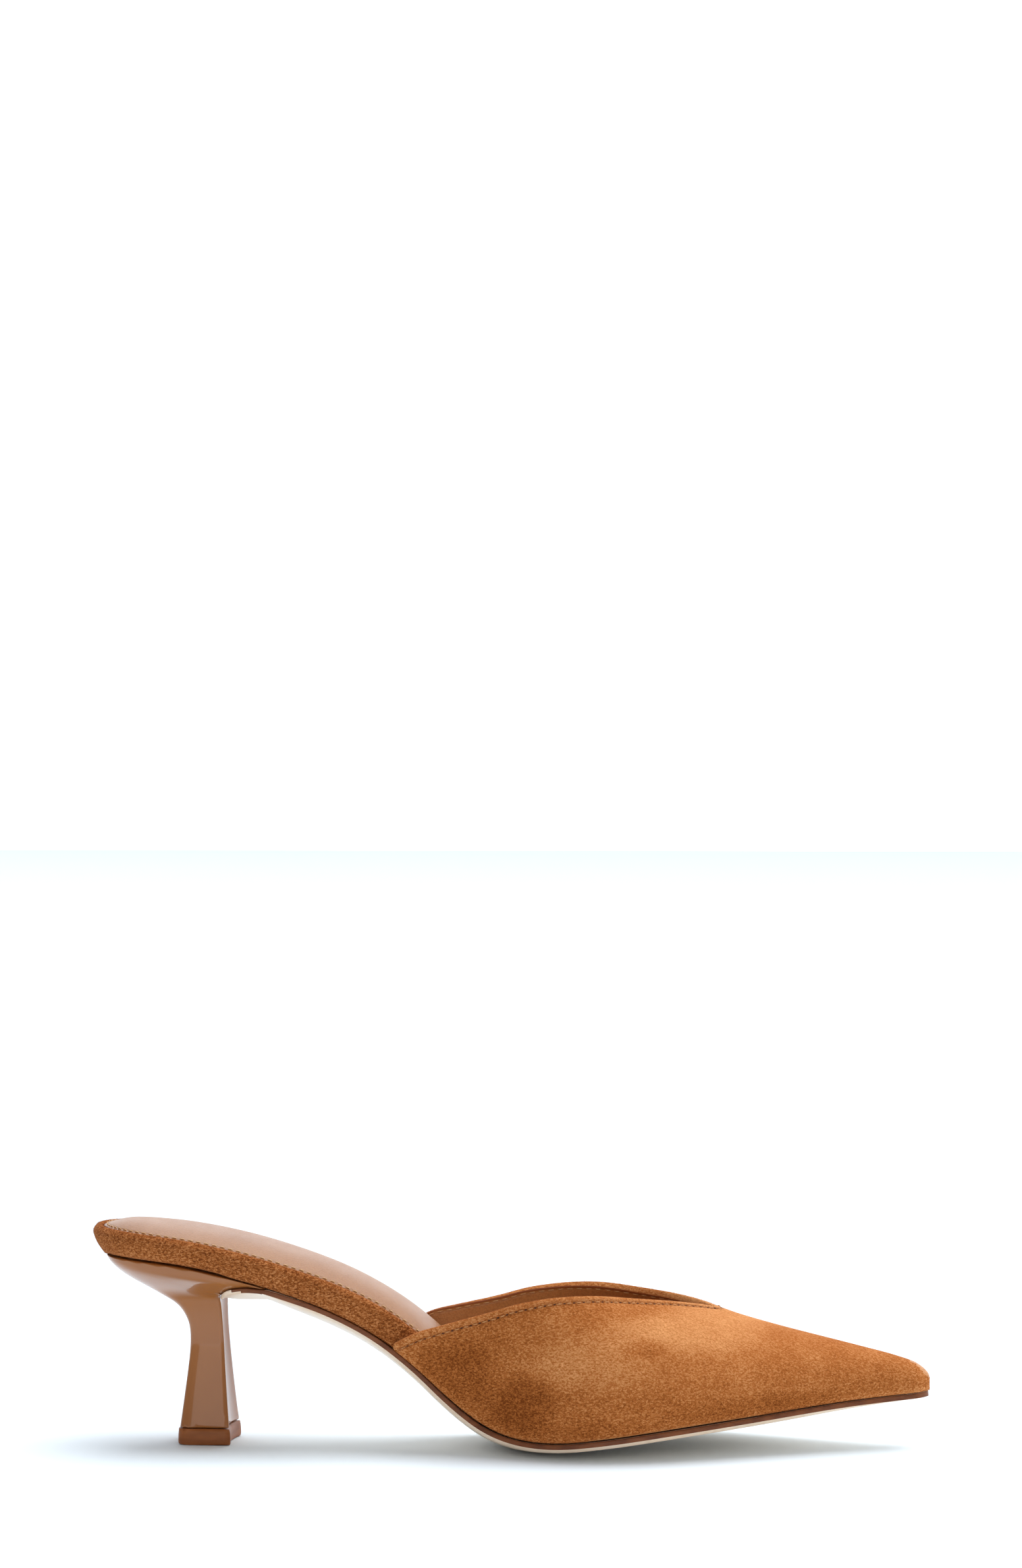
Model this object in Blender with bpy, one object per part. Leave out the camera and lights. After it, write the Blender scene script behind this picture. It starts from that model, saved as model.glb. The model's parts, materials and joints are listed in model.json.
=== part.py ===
"""Pointed mule pump for the right foot, standing on its heel tip and on the tread of its forefoot.

+X runs to the toe, +Y to the inner side of the foot and +Z up, with the floor at z = 0. Each piece is
lofted along the shoe from stations, which are shares of the shoe's length from the back of the
platform (0) to the tip of the toe (1). Heights are measured from the feather line, the edge
where upper and platform meet the outsole.
"""

import math
from collections import namedtuple
from functools import lru_cache

import bmesh
import bpy
import numpy as np

MM = 0.001

# Length and widths, the widths along the feather line
SHOE_LENGTH = 252.4 * MM
BALL_WIDTH = 68.8 * MM
SEAT_WIDTH = 46.4 * MM
WAIST_WIDTH = 39.6 * MM
SEAT_ROUND = 22.0 * MM
TOE_ROUND = 5.0 * MM
BACK_OVERHANG = 4.2 * MM

# Heights of the feather line above the floor
SEAT_HEIGHT = 57.2 * MM
BALL_HEIGHT = 5.1 * MM
TOE_HEIGHT = 17.0 * MM

# Where the sole bends most, and how much closer the stations lie there
BEND_STATION = 0.46
BEND_CROWDING = 0.45

# Upper
THROAT_HEIGHT = 30.4 * MM
THROAT_STATION = 0.747
WING_STATION = 0.368
UPPER_WALL = 1.7 * MM
FEATHER_TUCK = 2.4 * MM
FEATHER_LAP = 0.2 * MM
WING_LAP = 1.0 * MM
WING_BLEND = 0.10
TOE_FACE = 3.2 * MM
TOE_ROLL = 9.5 * MM
TOPLINE_BAND = 2.0 * MM
TOPLINE_STEP = 0.5 * MM
UNDER_TURN = math.radians(106)
BELLY_SHARE = 0.24

# Platform, sock and outsole
PLATFORM_HEIGHT = 8.0 * MM
INSOLE_HEIGHT = 3.0 * MM
RIM_FLARE = 2.0 * MM
RIM_ROLL = 2.6 * MM
INSOLE_MARGIN = 0.6 * MM
PLATFORM_END = 0.975
SOCK_RECESS = 1.3 * MM
SOCK_CROWN = 2.7 * MM
SOLE_EDGE = 1.5 * MM
SOLE_BEVEL = 1.1 * MM
SOLE_BELLY = 3.2 * MM
SOLE_INSET = 0.4 * MM

# Heel: the breast is its front face, the lip its thin front end under the platform
BREAST_STATION = 0.161
LIP_LENGTH = 15.0 * MM
CURL_DEPTH = 9.1 * MM
TAIL_THICKNESS = 1.4 * MM
TAIL_SKIVE = 0.5
LIP_FACE = 1.5 * MM
TIP_HEIGHT = 4.9 * MM
TIP_LENGTH = 15.5 * MM
TIP_WIDTH = 19.0 * MM
TIP_STEP = 0.3 * MM
TIP_ROUND = 0.8 * MM
NECK_LENGTH = 10.6 * MM
NECK_WIDTH = 11.6 * MM
BREAST_HOLLOW = 1.3 * MM
BREAST_RAKE = 3.0 * MM
BREAST_TWIST = 0.6 * MM

CLEARANCE = 0.3 * MM

Plan = namedtuple("Plan", "station shift width")
PLAN = [
    Plan(0.00, 0.000 * BALL_WIDTH, 0.90 * SEAT_WIDTH),
    Plan(0.05, 0.000 * BALL_WIDTH, 0.94 * SEAT_WIDTH),
    Plan(0.10, 0.000 * BALL_WIDTH, 0.98 * SEAT_WIDTH),
    Plan(0.15, -0.001 * BALL_WIDTH, 1.00 * SEAT_WIDTH),
    Plan(0.21, -0.004 * BALL_WIDTH, 0.98 * SEAT_WIDTH),
    Plan(0.30, -0.009 * BALL_WIDTH, 1.05 * WAIST_WIDTH),
    Plan(0.39, -0.014 * BALL_WIDTH, 1.00 * WAIST_WIDTH),
    Plan(0.46, -0.022 * BALL_WIDTH, 1.10 * WAIST_WIDTH),
    Plan(0.52, -0.029 * BALL_WIDTH, 0.77 * BALL_WIDTH),
    Plan(0.58, -0.017 * BALL_WIDTH, 0.92 * BALL_WIDTH),
    Plan(0.64, 0.015 * BALL_WIDTH, 1.00 * BALL_WIDTH),
    Plan(0.70, 0.044 * BALL_WIDTH, 0.96 * BALL_WIDTH),
    Plan(0.76, 0.061 * BALL_WIDTH, 0.81 * BALL_WIDTH),
    Plan(0.82, 0.073 * BALL_WIDTH, 0.62 * BALL_WIDTH),
    Plan(0.88, 0.079 * BALL_WIDTH, 0.43 * BALL_WIDTH),
    Plan(0.94, 0.084 * BALL_WIDTH, 0.26 * BALL_WIDTH),
    Plan(0.97, 0.086 * BALL_WIDTH, 0.185 * BALL_WIDTH),
    Plan(1.00, 0.087 * BALL_WIDTH, 0.12 * BALL_WIDTH),
]

# Height of the feather line above its lowest point, at the ball
Rise = namedtuple("Rise", "station to_seat to_toe")
RISE = [
    Rise(0.00, 1.000, 0.0),
    Rise(0.06, 0.985, 0.0),
    Rise(0.12, 0.956, 0.0),
    Rise(0.18, 0.896, 0.0),
    Rise(0.24, 0.810, 0.0),
    Rise(0.30, 0.704, 0.0),
    Rise(0.36, 0.543, 0.0),
    Rise(0.40, 0.390, 0.0),
    Rise(0.44, 0.213, 0.0),
    Rise(0.48, 0.075, 0.0),
    Rise(0.52, 0.012, 0.0),
    Rise(0.56, 0.000, 0.0),
    Rise(0.62, 0.000, 0.13),
    Rise(0.70, 0.000, 0.355),
    Rise(0.80, 0.000, 0.59),
    Rise(0.90, 0.000, 0.83),
    Rise(1.00, 0.000, 1.00),
]

# Ridge of the last above the feather line; it is cut away behind the throat
Ridge = namedtuple("Ridge", "station height")
RIDGE = [
    Ridge(0.36, 1.667 * THROAT_HEIGHT),
    Ridge(0.40, 1.80 * THROAT_HEIGHT),
    Ridge(0.45, 1.974 * THROAT_HEIGHT),
    Ridge(0.50, 2.005 * THROAT_HEIGHT),
    Ridge(0.55, 1.862 * THROAT_HEIGHT),
    Ridge(0.60, 1.637 * THROAT_HEIGHT),
    Ridge(0.65, 1.39 * THROAT_HEIGHT),
    Ridge(0.70, 1.18 * THROAT_HEIGHT),
    Ridge(0.747, 1.00 * THROAT_HEIGHT),
    Ridge(0.80, 0.822 * THROAT_HEIGHT),
    Ridge(0.85, 0.667 * THROAT_HEIGHT),
    Ridge(0.90, 0.522 * THROAT_HEIGHT),
    Ridge(0.95, 0.385 * THROAT_HEIGHT),
    Ridge(1.00, 0.27 * THROAT_HEIGHT),
]

# Topline: how far round the girth it lies, 0 on the ridge and 1 at the feather line,
# against the way from the wing's corner (0) to the throat (1)
Topline = namedtuple("Topline", "way outer inner")
TOPLINE = [
    Topline(0.00, 1.000, 1.000),
    Topline(0.055, 0.918, 0.906),
    Topline(0.11, 0.844, 0.831),
    Topline(0.18, 0.756, 0.748),
    Topline(0.26, 0.665, 0.664),
    Topline(0.34, 0.587, 0.592),
    Topline(0.42, 0.517, 0.528),
    Topline(0.50, 0.449, 0.469),
    Topline(0.59, 0.383, 0.408),
    Topline(0.68, 0.317, 0.351),
    Topline(0.78, 0.242, 0.283),
    Topline(0.88, 0.154, 0.195),
    Topline(0.94, 0.085, 0.117),
    Topline(1.00, 0.000, 0.000),
]

# Rim of the platform: how far its side stands out from the feather line, in flares, up to the wings
Flare = namedtuple("Flare", "station flare")
FLARE = [
    Flare(0.000, BACK_OVERHANG / RIM_FLARE),
    Flare(0.030, 1.75),
    Flare(0.080, 1.25),
    Flare(0.140, 1.00),
    Flare(0.240, 0.90),
    Flare(0.300, 0.60),
    Flare(0.340, 0.10),
    Flare(0.370, -0.40),
]

# Platform height along the shoe, as shares between insole and platform
Build = namedtuple("Build", "station share")
BUILD_UP = [
    Build(0.00, 1.14),
    Build(0.06, 1.05),
    Build(0.14, 1.00),
    Build(0.39, 1.00),
    Build(0.43, 0.75),
    Build(0.50, 0.10),
    Build(0.54, 0.00),
]

# Belly of the outsole below its edge, in bellies
Belly = namedtuple("Belly", "station share")
BELLY = [
    Belly(0.20, 1.25),
    Belly(0.30, 1.12),
    Belly(0.42, 1.12),
    Belly(0.48, 1.10),
    Belly(0.54, 0.95),
    Belly(0.64, 0.70),
    Belly(0.76, 0.52),
    Belly(0.86, 0.35),
    Belly(0.94, 0.10),
    Belly(1.00, 0.03),
]

# Tail of the outsole, from the lip's front end down the breast: the way ahead of the breast in
# lips, the drop below the feather line in curls, at the edge and at the middle, and the width
Tail = namedtuple("Tail", "edge_way edge_drop mid_way mid_drop width")
TAIL = [
    Tail(0.00, 1.00, -0.06, 1.00, 0.36),
    Tail(0.03, 0.86, 0.02, 0.94, 0.46),
    Tail(0.10, 0.69, 0.12, 0.88, 0.60),
    Tail(0.22, 0.52, 0.26, 0.83, 0.74),
    Tail(0.40, 0.36, 0.44, 0.76, 0.86),
    Tail(0.64, 0.20, 0.66, 0.65, 0.93),
    Tail(1.00, 0.06, 1.00, 0.46, 0.965),
]

# Heel column, from the tip up to the end of the outsole's curl: the level as a share of the
# way up to that end, the rear face behind the breast, the front face and the width
Column = namedtuple("Column", "level rear front width square")
COLUMN = [
    Column(0.00, 1.00 * TIP_LENGTH, 0.00, 0.98 * TIP_WIDTH, 9.0),
    Column(0.10, 0.945 * TIP_LENGTH, 0.13, 0.92 * TIP_WIDTH, 9.0),
    Column(0.24, 0.87 * TIP_LENGTH, 0.30, 0.83 * TIP_WIDTH, 9.0),
    Column(0.42, 1.14 * NECK_LENGTH, 0.50, 1.20 * NECK_WIDTH, 8.5),
    Column(0.60, 1.03 * NECK_LENGTH, 0.68, 1.03 * NECK_WIDTH, 7.5),
    Column(0.75, 1.00 * NECK_LENGTH, 0.82, 1.00 * NECK_WIDTH, 6.5),
    Column(0.84, 1.07 * NECK_LENGTH, 0.90, 1.06 * NECK_WIDTH, 5.6),
    Column(0.915, 1.22 * NECK_LENGTH, 0.95, 1.17 * NECK_WIDTH, 5.0),
    Column(0.97, 1.42 * NECK_LENGTH, 0.985, 1.30 * NECK_WIDTH, 4.6),
]

# Heel seat: how the rear profile runs from the top of the column to the back of the seat
Spread = namedtuple("Spread", "back up square")
SPREAD = [
    Spread(0.18, 0.15, 4.2),
    Spread(0.37, 0.31, 3.8),
    Spread(0.56, 0.465, 3.5),
    Spread(0.745, 0.63, 3.2),
    Spread(0.88, 0.79, 3.1),
    Spread(0.965, 0.92, 3.0),
]

Colour = namedtuple("Colour", "red green blue roughness")
SUEDE = Colour(0.42, 0.17, 0.06, 0.95)
LEATHER = Colour(0.55, 0.33, 0.17, 0.55)
SOLE_RESIN = Colour(0.62, 0.45, 0.32, 0.5)
HEEL_LACQUER = Colour(0.30, 0.13, 0.055, 0.2)
TIP_RUBBER = Colour(0.17, 0.06, 0.025, 0.35)


def curve_through(rows, column, key="station"):
    """Smooth curve through one column of a table, against its first column."""
    x = np.array([getattr(row, key) for row in rows], float)
    y = np.array([getattr(row, column) for row in rows], float)
    gap = np.diff(x)
    slope = np.diff(y) / gap
    inner = (slope[:-1] * gap[1:] + slope[1:] * gap[:-1]) / (gap[:-1] + gap[1:])
    inner = np.where(slope[:-1] * slope[1:] <= 0, 0.0, inner)
    tangent = np.concatenate([slope[:1], inner, slope[-1:]])

    def curve(at):
        at = np.clip(at, x[0], x[-1])
        k = np.clip(np.searchsorted(x, at) - 1, 0, len(gap) - 1)
        u = (at - x[k]) / gap[k]
        return (
            (1 + 2 * u) * (1 - u) ** 2 * y[k]
            + u * (1 - u) ** 2 * gap[k] * tangent[k]
            + u * u * (3 - 2 * u) * y[k + 1]
            + u * u * (u - 1) * gap[k] * tangent[k + 1]
        )

    return curve


plan_shift = curve_through(PLAN, "shift")
plan_width = curve_through(PLAN, "width")
rise_to_seat = curve_through(RISE, "to_seat")
rise_to_toe = curve_through(RISE, "to_toe")
ridge_height = curve_through(RIDGE, "height")
topline_outer = curve_through(TOPLINE, "outer", "way")
topline_inner = curve_through(TOPLINE, "inner", "way")
rim_flare = curve_through(FLARE, "flare")
build_up = curve_through(BUILD_UP, "share")
belly_share = curve_through(BELLY, "share")


def rounding(distance, radius):
    """Share of the full width at a distance from a round end."""
    short = 1 - np.clip(distance / radius, 0.0, 1.0)
    return np.sqrt(1 - short**2)


def smooth(value, low, high):
    """Soft step from 0 at low to 1 at high."""
    share = np.clip((value - low) / (high - low), 0.0, 1.0)
    return share * share * (3 - 2 * share)


def feather_height(station):
    """Height of the feather line above the floor."""
    seat = rise_to_seat(station) * (SEAT_HEIGHT - BALL_HEIGHT)
    toe = rise_to_toe(station) * (TOE_HEIGHT - BALL_HEIGHT)
    return BALL_HEIGHT + seat + toe


def sole_point(x, y, above):
    """Point above or below the feather surface, measured square to it."""
    station = x / SHOE_LENGTH
    step = 0.002
    run = 2 * step * SHOE_LENGTH
    fall = feather_height(station + step) - feather_height(station - step)
    length = math.hypot(run, fall)
    height = feather_height(station)
    return np.array([x - fall / length * above, y, height + run / length * above])


def half_width(station):
    """Half the width between the feather lines, rounded at both ends."""
    back = (station * SHOE_LENGTH) - BACK_OVERHANG
    toe = (1 - station) * SHOE_LENGTH
    return plan_width(station) / 2 * rounding(back, SEAT_ROUND) * rounding(toe, TOE_ROUND)


def stations(first, last, count, round_first=0.0, round_last=0.0):
    """Stations from first to last, closer together at the bend and on a round end."""
    steps = np.linspace(0, 1, count)
    bend = (BEND_STATION - first) / (last - first)
    turn = BEND_CROWDING * (np.sin(2 * np.pi * (steps - bend)) + math.sin(2 * math.pi * bend)) / (2 * np.pi)
    rows = list(first + (last - first) * (steps - turn))
    for end, size, sign in ((first, round_first, 1), (last, round_last, -1)):
        if not size:
            continue
        share = size / SHOE_LENGTH
        rows = [s for s in rows if abs(s - end) > share]
        rows += [end + sign * share * (1 - math.cos(a)) for a in np.linspace(0, math.pi / 2, 8)]
    return np.array(sorted(rows))


def outline(rows):
    """Plan of the feather line on both sides, with its outward normals, for each station."""
    sides = []
    for side in (-1, 1):
        points = np.array([[s * SHOE_LENGTH, plan_shift(s) + side * half_width(s)] for s in rows])
        along = np.gradient(points, axis=0)
        for end, step in ((0, points[1] - points[0]), (-1, points[-1] - points[-2])):
            if half_width(rows[end]) < 0.01 * MM:
                along[end] = step * (0.0, 1.0)
        normal = side * np.stack([-along[:, 1], along[:, 0]], axis=1)
        sides.append((points, normal / np.linalg.norm(normal, axis=1)[:, None]))
    return sides


def edge_point(sides, side, row, out, above):
    """Point beside the feather line: out from it in plan and above it."""
    points, normals = sides[side]
    x, y = points[row] + normals[row] * out
    return sole_point(x, y, above)


def across(left, right, count, sag, fullness=2):
    """Points between two edge points, bowed by the sag vector in the middle."""
    points = []
    for k in range(1, count):
        v = 2 * k / count - 1
        points.append(left + (right - left) * (v + 1) / 2 + sag * (1 - abs(v) ** fullness))
    return points


def between(sections):
    """Sections with one more fitted smoothly between each two."""
    finer = [sections[0]]
    for k in range(len(sections) - 1):
        around = [sections[min(max(i, 0), len(sections) - 1)] for i in (k - 1, k, k + 1, k + 2)]
        ends = k == 0 or k == len(sections) - 2
        weights = (0.0, 0.5, 0.5, 0.0) if ends else (-0.0625, 0.5625, 0.5625, -0.0625)
        finer.append([sum(w * p for w, p in zip(weights, points)) for points in zip(*around)])
        finer.append(sections[k + 1])
    return finer


def new_piece(name, colour):
    """Empty mesh object with its own material, linked to the scene."""
    mesh = bpy.data.meshes.new(name)
    piece = bpy.data.objects.new(name, mesh)
    bpy.context.scene.collection.objects.link(piece)
    material = bpy.data.materials.new(name)
    material.use_nodes = True
    shader = material.node_tree.nodes["Principled BSDF"]
    shader.inputs["Base Color"].default_value = (colour.red, colour.green, colour.blue, 1.0)
    shader.inputs["Roughness"].default_value = colour.roughness
    mesh.materials.append(material)
    return piece


def fill_mesh(piece, grid_faces):
    """Writes faces, given as lists of points, into the piece and joins what coincides."""
    built = bmesh.new()
    for points in grid_faces:
        corners = [built.verts.new(point) for point in points]
        built.faces.new(corners)
    bmesh.ops.remove_doubles(built, verts=built.verts, dist=0.002 * MM)
    bmesh.ops.dissolve_degenerate(built, edges=built.edges, dist=0.002 * MM)
    bmesh.ops.recalc_face_normals(built, faces=built.faces)
    if built.calc_volume(signed=True) < 0:
        bmesh.ops.reverse_faces(built, faces=built.faces)
    built.to_mesh(piece.data)
    built.free()
    piece.data.shade_smooth()
    piece.data.set_sharp_from_angle(angle=math.radians(38))
    return piece


def patch(rows):
    """Quads between neighbouring rows of points."""
    faces = []
    for first, second in zip(rows, rows[1:]):
        for k in range(len(first) - 1):
            faces.append([first[k], first[k + 1], second[k + 1], second[k]])
    return faces


def loft(sections, cap_first=False, cap_last=False):
    """Faces of a tube through closed sections, with flat caps where asked."""
    closed = [list(section) + [section[0]] for section in sections]
    faces = patch(closed)
    if cap_first:
        faces.append(list(sections[0]))
    if cap_last:
        faces.append(list(sections[-1]))
    return faces


def platform_height(station):
    """Height of the platform's top above the feather surface."""
    return INSOLE_HEIGHT + build_up(station) * (PLATFORM_HEIGHT - INSOLE_HEIGHT)


def under_belly(station):
    """How far the platform's underside bows down at the middle, ahead of the heel."""
    lip_front = BREAST_STATION + LIP_LENGTH / SHOE_LENGTH
    share = smooth(station, lip_front, lip_front + 0.08)
    return share * belly_share(station) * SOLE_BELLY * 0.75


def rim_offset(station, side, share, above):
    """How far the platform's side stands out at a share of the flare; ahead it backs the upper."""
    flare = rim_flare(station)
    rim = RIM_FLARE * (min(flare, 0.0) + share * max(flare, 0.0))
    hidden = room_inside(station, side, above)
    behind = 0.012 + above / SHOE_LENGTH
    return rim + (hidden - rim) * smooth(station, WING_STATION - behind, WING_STATION - behind + 0.012)


def rim_roll(station):
    """How far the platform's top edge rolls in; inside the upper the sock covers nearly all of it."""
    inside = smooth(station, WING_STATION + 0.01, WING_STATION + 0.07)
    return RIM_ROLL + (INSOLE_MARGIN - RIM_ROLL) * inside


def platform_rows():
    """Stations of the platform; the sock shares them, so that its facets lie along the platform's."""
    return stations(BACK_OVERHANG / SHOE_LENGTH, PLATFORM_END, 36, SEAT_ROUND)


def build_platform():
    """Suede-wrapped platform: a rolled rim to the wings, then the insole under the upper."""
    piece = new_piece("platform", SUEDE)
    rows = platform_rows()
    sides = outline(rows)
    profile = [
        (0.00, 0.00, 0.00),
        (0.55, 0.00, 0.28),
        (0.92, 0.00, 0.58),
        (1.00, 0.00, 0.78),
        (1.00, 0.22, 0.92),
        (1.00, 0.58, 1.00),
        (1.00, 1.00, 0.965),
    ]
    sections = []
    for row, station in enumerate(rows):
        top = platform_height(station)
        edges = []
        for side in (0, 1):
            climb = []
            for flare, roll, rise in profile:
                out = rim_offset(station, side, flare, top * rise) - roll * rim_roll(station)
                climb.append(edge_point(sides, side, row, out, top * rise))
            floor = rim_offset(station, side, 1.0, top) - rim_roll(station) - CLEARANCE
            climb.append(edge_point(sides, side, row, floor, top - SOCK_RECESS))
            edges.append(climb)
        outer, inner = edges
        sag = np.array([0.0, 0.0, -under_belly(station)])
        under = across(outer[0], inner[0], 6, sag)
        recess = across(inner[-1], outer[-1], 4, np.zeros(3))
        sections.append(outer[::-1] + under + inner + recess)
    return fill_mesh(piece, loft(sections, cap_last=True))


def build_sock():
    """Padded leather sock lying in the platform's recess, crowned along the middle."""
    piece = new_piece("sock", LEATHER)
    rows = platform_rows()[:-1]
    sides = outline(rows)
    sections = []
    for row, station in enumerate(rows):
        top = platform_height(station)
        width = half_width(station)
        fade = smooth(width, 4 * MM, 18 * MM) * (1 - 0.6 * smooth(station, 0.42, 0.55))
        fade *= 0.74 + 0.26 * smooth(station, 0.06, 0.26)
        floor = top - SOCK_RECESS + CLEARANCE
        edges = []
        for side in (0, 1):
            base = rim_offset(station, side, 1.0, top) - rim_roll(station) - 2 * CLEARANCE
            edges.append(
                [
                    edge_point(sides, side, row, base, floor),
                    edge_point(sides, side, row, base, top - 1.3 * CLEARANCE),
                    edge_point(sides, side, row, base - 1.2 * MM, top + 0.5 * CLEARANCE),
                ]
            )
        outer, inner = edges
        crown = np.array([0.0, 0.0, SOCK_CROWN * fade])
        over = across(inner[-1], outer[-1], 8, crown, 3)
        under = across(outer[0], inner[0], 4, np.zeros(3))
        sections.append(outer[::-1] + under + inner + over)
    return fill_mesh(piece, loft(sections, cap_last=True))


def tail_rows():
    """Top of the outsole's tail, which runs back under the heel's lip and down its breast."""
    rows = []
    for tail in TAIL:
        edge_x = BREAST_STATION * SHOE_LENGTH + tail.edge_way * LIP_LENGTH
        mid_x = BREAST_STATION * SHOE_LENGTH + tail.mid_way * LIP_LENGTH
        edge_z = feather_height(edge_x / SHOE_LENGTH) - tail.edge_drop * CURL_DEPTH
        mid_z = feather_height(mid_x / SHOE_LENGTH) - tail.mid_drop * CURL_DEPTH
        shift = plan_shift(BREAST_STATION)
        rows.append((np.array([edge_x, shift, edge_z]), np.array([mid_x, shift, mid_z]), tail.width * SEAT_WIDTH / 2))
    return rows


def build_outsole():
    """Thin outsole: painted edge, bevel, bowed waist, flat tread at the ball and curled tail."""
    piece = new_piece("outsole", SOLE_RESIN)
    tail = tail_rows()
    count = 8
    sections = []
    for k, (edge, mid, half) in enumerate(tail):
        before, after = tail[max(k - 1, 0)], tail[min(k + 1, len(tail) - 1)]
        skive = TAIL_SKIVE + (1 - TAIL_SKIVE) * min(k / 3, 1.0)
        sections.append(tail_section(edge, mid, half, after[0] - before[0], after[1] - before[1], skive, count))
    lip_end = BREAST_STATION + LIP_LENGTH / SHOE_LENGTH
    rows = np.array([lip_end, *stations(lip_end + LIP_FACE / SHOE_LENGTH, 1.0, 36, 0.0, TOE_ROUND)])
    sides = outline(rows)
    for row, station in enumerate(rows):
        sections.append(sole_section(sides, row, station, count))
    join = len(tail)
    sections[join] = sections[join - 1][: count + 1] + sections[join][count + 1 :]
    sections = between(sections[: join - 1] + [sections[join]]) + sections[join + 1 :]
    return fill_mesh(piece, loft(sections, cap_first=True))


def tail_section(edge, mid, half, edge_run, mid_run, skive, count):
    """Closed section of the tail, square to its run, as thick as the tail or skived thinner."""
    out = np.array([0.0, half, 0.0])
    run = edge_run / np.linalg.norm(edge_run) + mid_run / np.linalg.norm(mid_run)
    square = np.array([run[2], 0.0, -run[0]]) / np.linalg.norm(run) * TAIL_THICKNESS * skive
    top = [edge - out] + across(edge - out, edge + out, count, mid - edge) + [edge + out]
    low_edge = edge + square
    inset = np.array([0.0, 0.35 * TAIL_THICKNESS * skive, 0.0])
    low = [low_edge + out - inset]
    low += across(low_edge + out - inset, low_edge - out + inset, count, mid - edge)
    low += [low_edge - out + inset]
    side = square * 0.6
    return top + [edge + out + side] + low + [edge - out + side]


def sole_section(sides, row, station, count):
    """Closed section of the outsole, flat where it treads on the floor."""
    fade = smooth(half_width(station), 0.0, 6 * MM)
    lip_end = BREAST_STATION + LIP_LENGTH / SHOE_LENGTH
    bevel = SOLE_BEVEL * fade * smooth(station, 1.0, 0.82) * smooth(station, lip_end - 0.01, lip_end + 0.06)
    belly = belly_share(station) * SOLE_BELLY * fade
    inset = -SOLE_INSET
    edges = []
    for side in (0, 1):
        edges.append(
            [
                edge_point(sides, side, row, inset, -CLEARANCE),
                edge_point(sides, side, row, inset, -CLEARANCE - SOLE_EDGE),
                edge_point(sides, side, row, inset - bevel, -CLEARANCE - SOLE_EDGE - bevel),
            ]
        )
    outer, inner = edges
    sag = np.array([0.0, 0.0, -under_belly(station) * fade])
    top = [outer[0]] + across(outer[0], inner[0], count, sag) + [inner[0]]
    low = [inner[2]] + across(inner[2], outer[2], count, np.array([0.0, 0.0, -belly])) + [outer[2]]
    section = top + [inner[1]] + low + [outer[1]]
    return [np.array([p[0], p[1], max(p[2], 0.0)]) for p in section]


def round_section(front, rear, half, square, hollow, front_fall, twist=0.0, count=9):
    """Closed heel section: square or horseshoe rear, hollow front, level across the shoe."""
    shift = plan_shift(BREAST_STATION)
    turn = np.linspace(0, math.pi / 2, count)
    side = []
    for angle in turn:
        back = math.sin(angle) ** (2 / square)
        wide = max(math.cos(angle), 0.0) ** (2 / square)
        side.append((back, wide))
    points = [
        np.array([front[0] + (rear[0] - front[0]) * b, shift - half * w, front[1] + (rear[1] - front[1]) * b])
        for b, w in side
    ]
    points += [
        np.array([front[0] + (rear[0] - front[0]) * b, shift + half * w, front[1] + (rear[1] - front[1]) * b])
        for b, w in side[-2::-1]
    ]
    start, end = points[-1], points[0]
    middle = np.array([-hollow + front_fall[0], 0.0, front_fall[1]])
    points += across(start, end, 6, middle)
    return [p + np.array([twist * (p[1] - shift) / half / 2, 0.0, 0.0]) for p in points]


def heel_sections():
    """Sections of the heel from above its tip to its seat."""
    breast = BREAST_STATION * SHOE_LENGTH
    tail = tail_rows()
    curl_end = tail[0][0][2] - CLEARANCE
    bottom = TIP_HEIGHT + CLEARANCE
    sections = []
    for row in COLUMN:
        level = bottom + row.level * (curl_end - bottom)
        front = breast + BREAST_RAKE * (1 - row.front)
        rear = (front - row.rear, level)
        twist = BREAST_TWIST * (1 - row.front)
        sections.append(
            round_section((front, level), rear, row.width / 2, row.square, BREAST_HOLLOW, (0, 0), twist)
        )
    last = sections[-1]
    start = (min(p[0] for p in last), last[0][2])
    seat_back = BACK_OVERHANG + 0.8 * MM
    end = (seat_back, feather_height(seat_back / SHOE_LENGTH) - CLEARANCE)
    for (edge, mid, half), spread in zip(tail, SPREAD):
        front, fall = behind_tail(edge, mid)
        rear = (
            start[0] + spread.back * (end[0] - start[0]),
            start[1] + spread.up * (end[1] - start[1]),
        )
        sections.append(round_section(front, rear, half, spread.square, 0.0, fall))
    sections.append(seat_section(tail[-1], end))
    return sections


def behind_tail(edge, mid):
    """Front point of a heel section that backs a row of the tail, and its fall at the middle."""
    front = (edge[0] - CLEARANCE, edge[2] + CLEARANCE)
    return front, (mid[0] - edge[0], mid[2] - edge[2])


def seat_section(tail, end):
    """Top of the heel, which follows the underside of the platform."""
    edge, mid, half = tail
    front, fall = behind_tail(edge, mid)
    points = round_section(front, end, half, 3.0, 0.0, fall)
    count = 2 * 9 - 1
    seated = []
    for k, point in enumerate(points):
        if k < count:
            top = feather_height(point[0] / SHOE_LENGTH) - CLEARANCE
            point = np.array([point[0], point[1], top])
        seated.append(point)
    return seated


def build_heel():
    """Moulded heel: square flared column, hollow breast and a seat spreading under the platform."""
    piece = new_piece("heel", HEEL_LACQUER)
    sections = between(heel_sections())
    faces = loft(sections, cap_first=True)
    top = sections[-1]
    count = 9
    near, far = top[:count], top[count - 1 : 2 * count - 1][::-1]
    rows = [[near[k], far[k]] for k in range(count)]
    faces += patch(rows[1:])
    faces.append([near[1], near[0], *top[2 * count - 1 :][::-1], far[0], far[1]])
    return fill_mesh(piece, faces)


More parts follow.
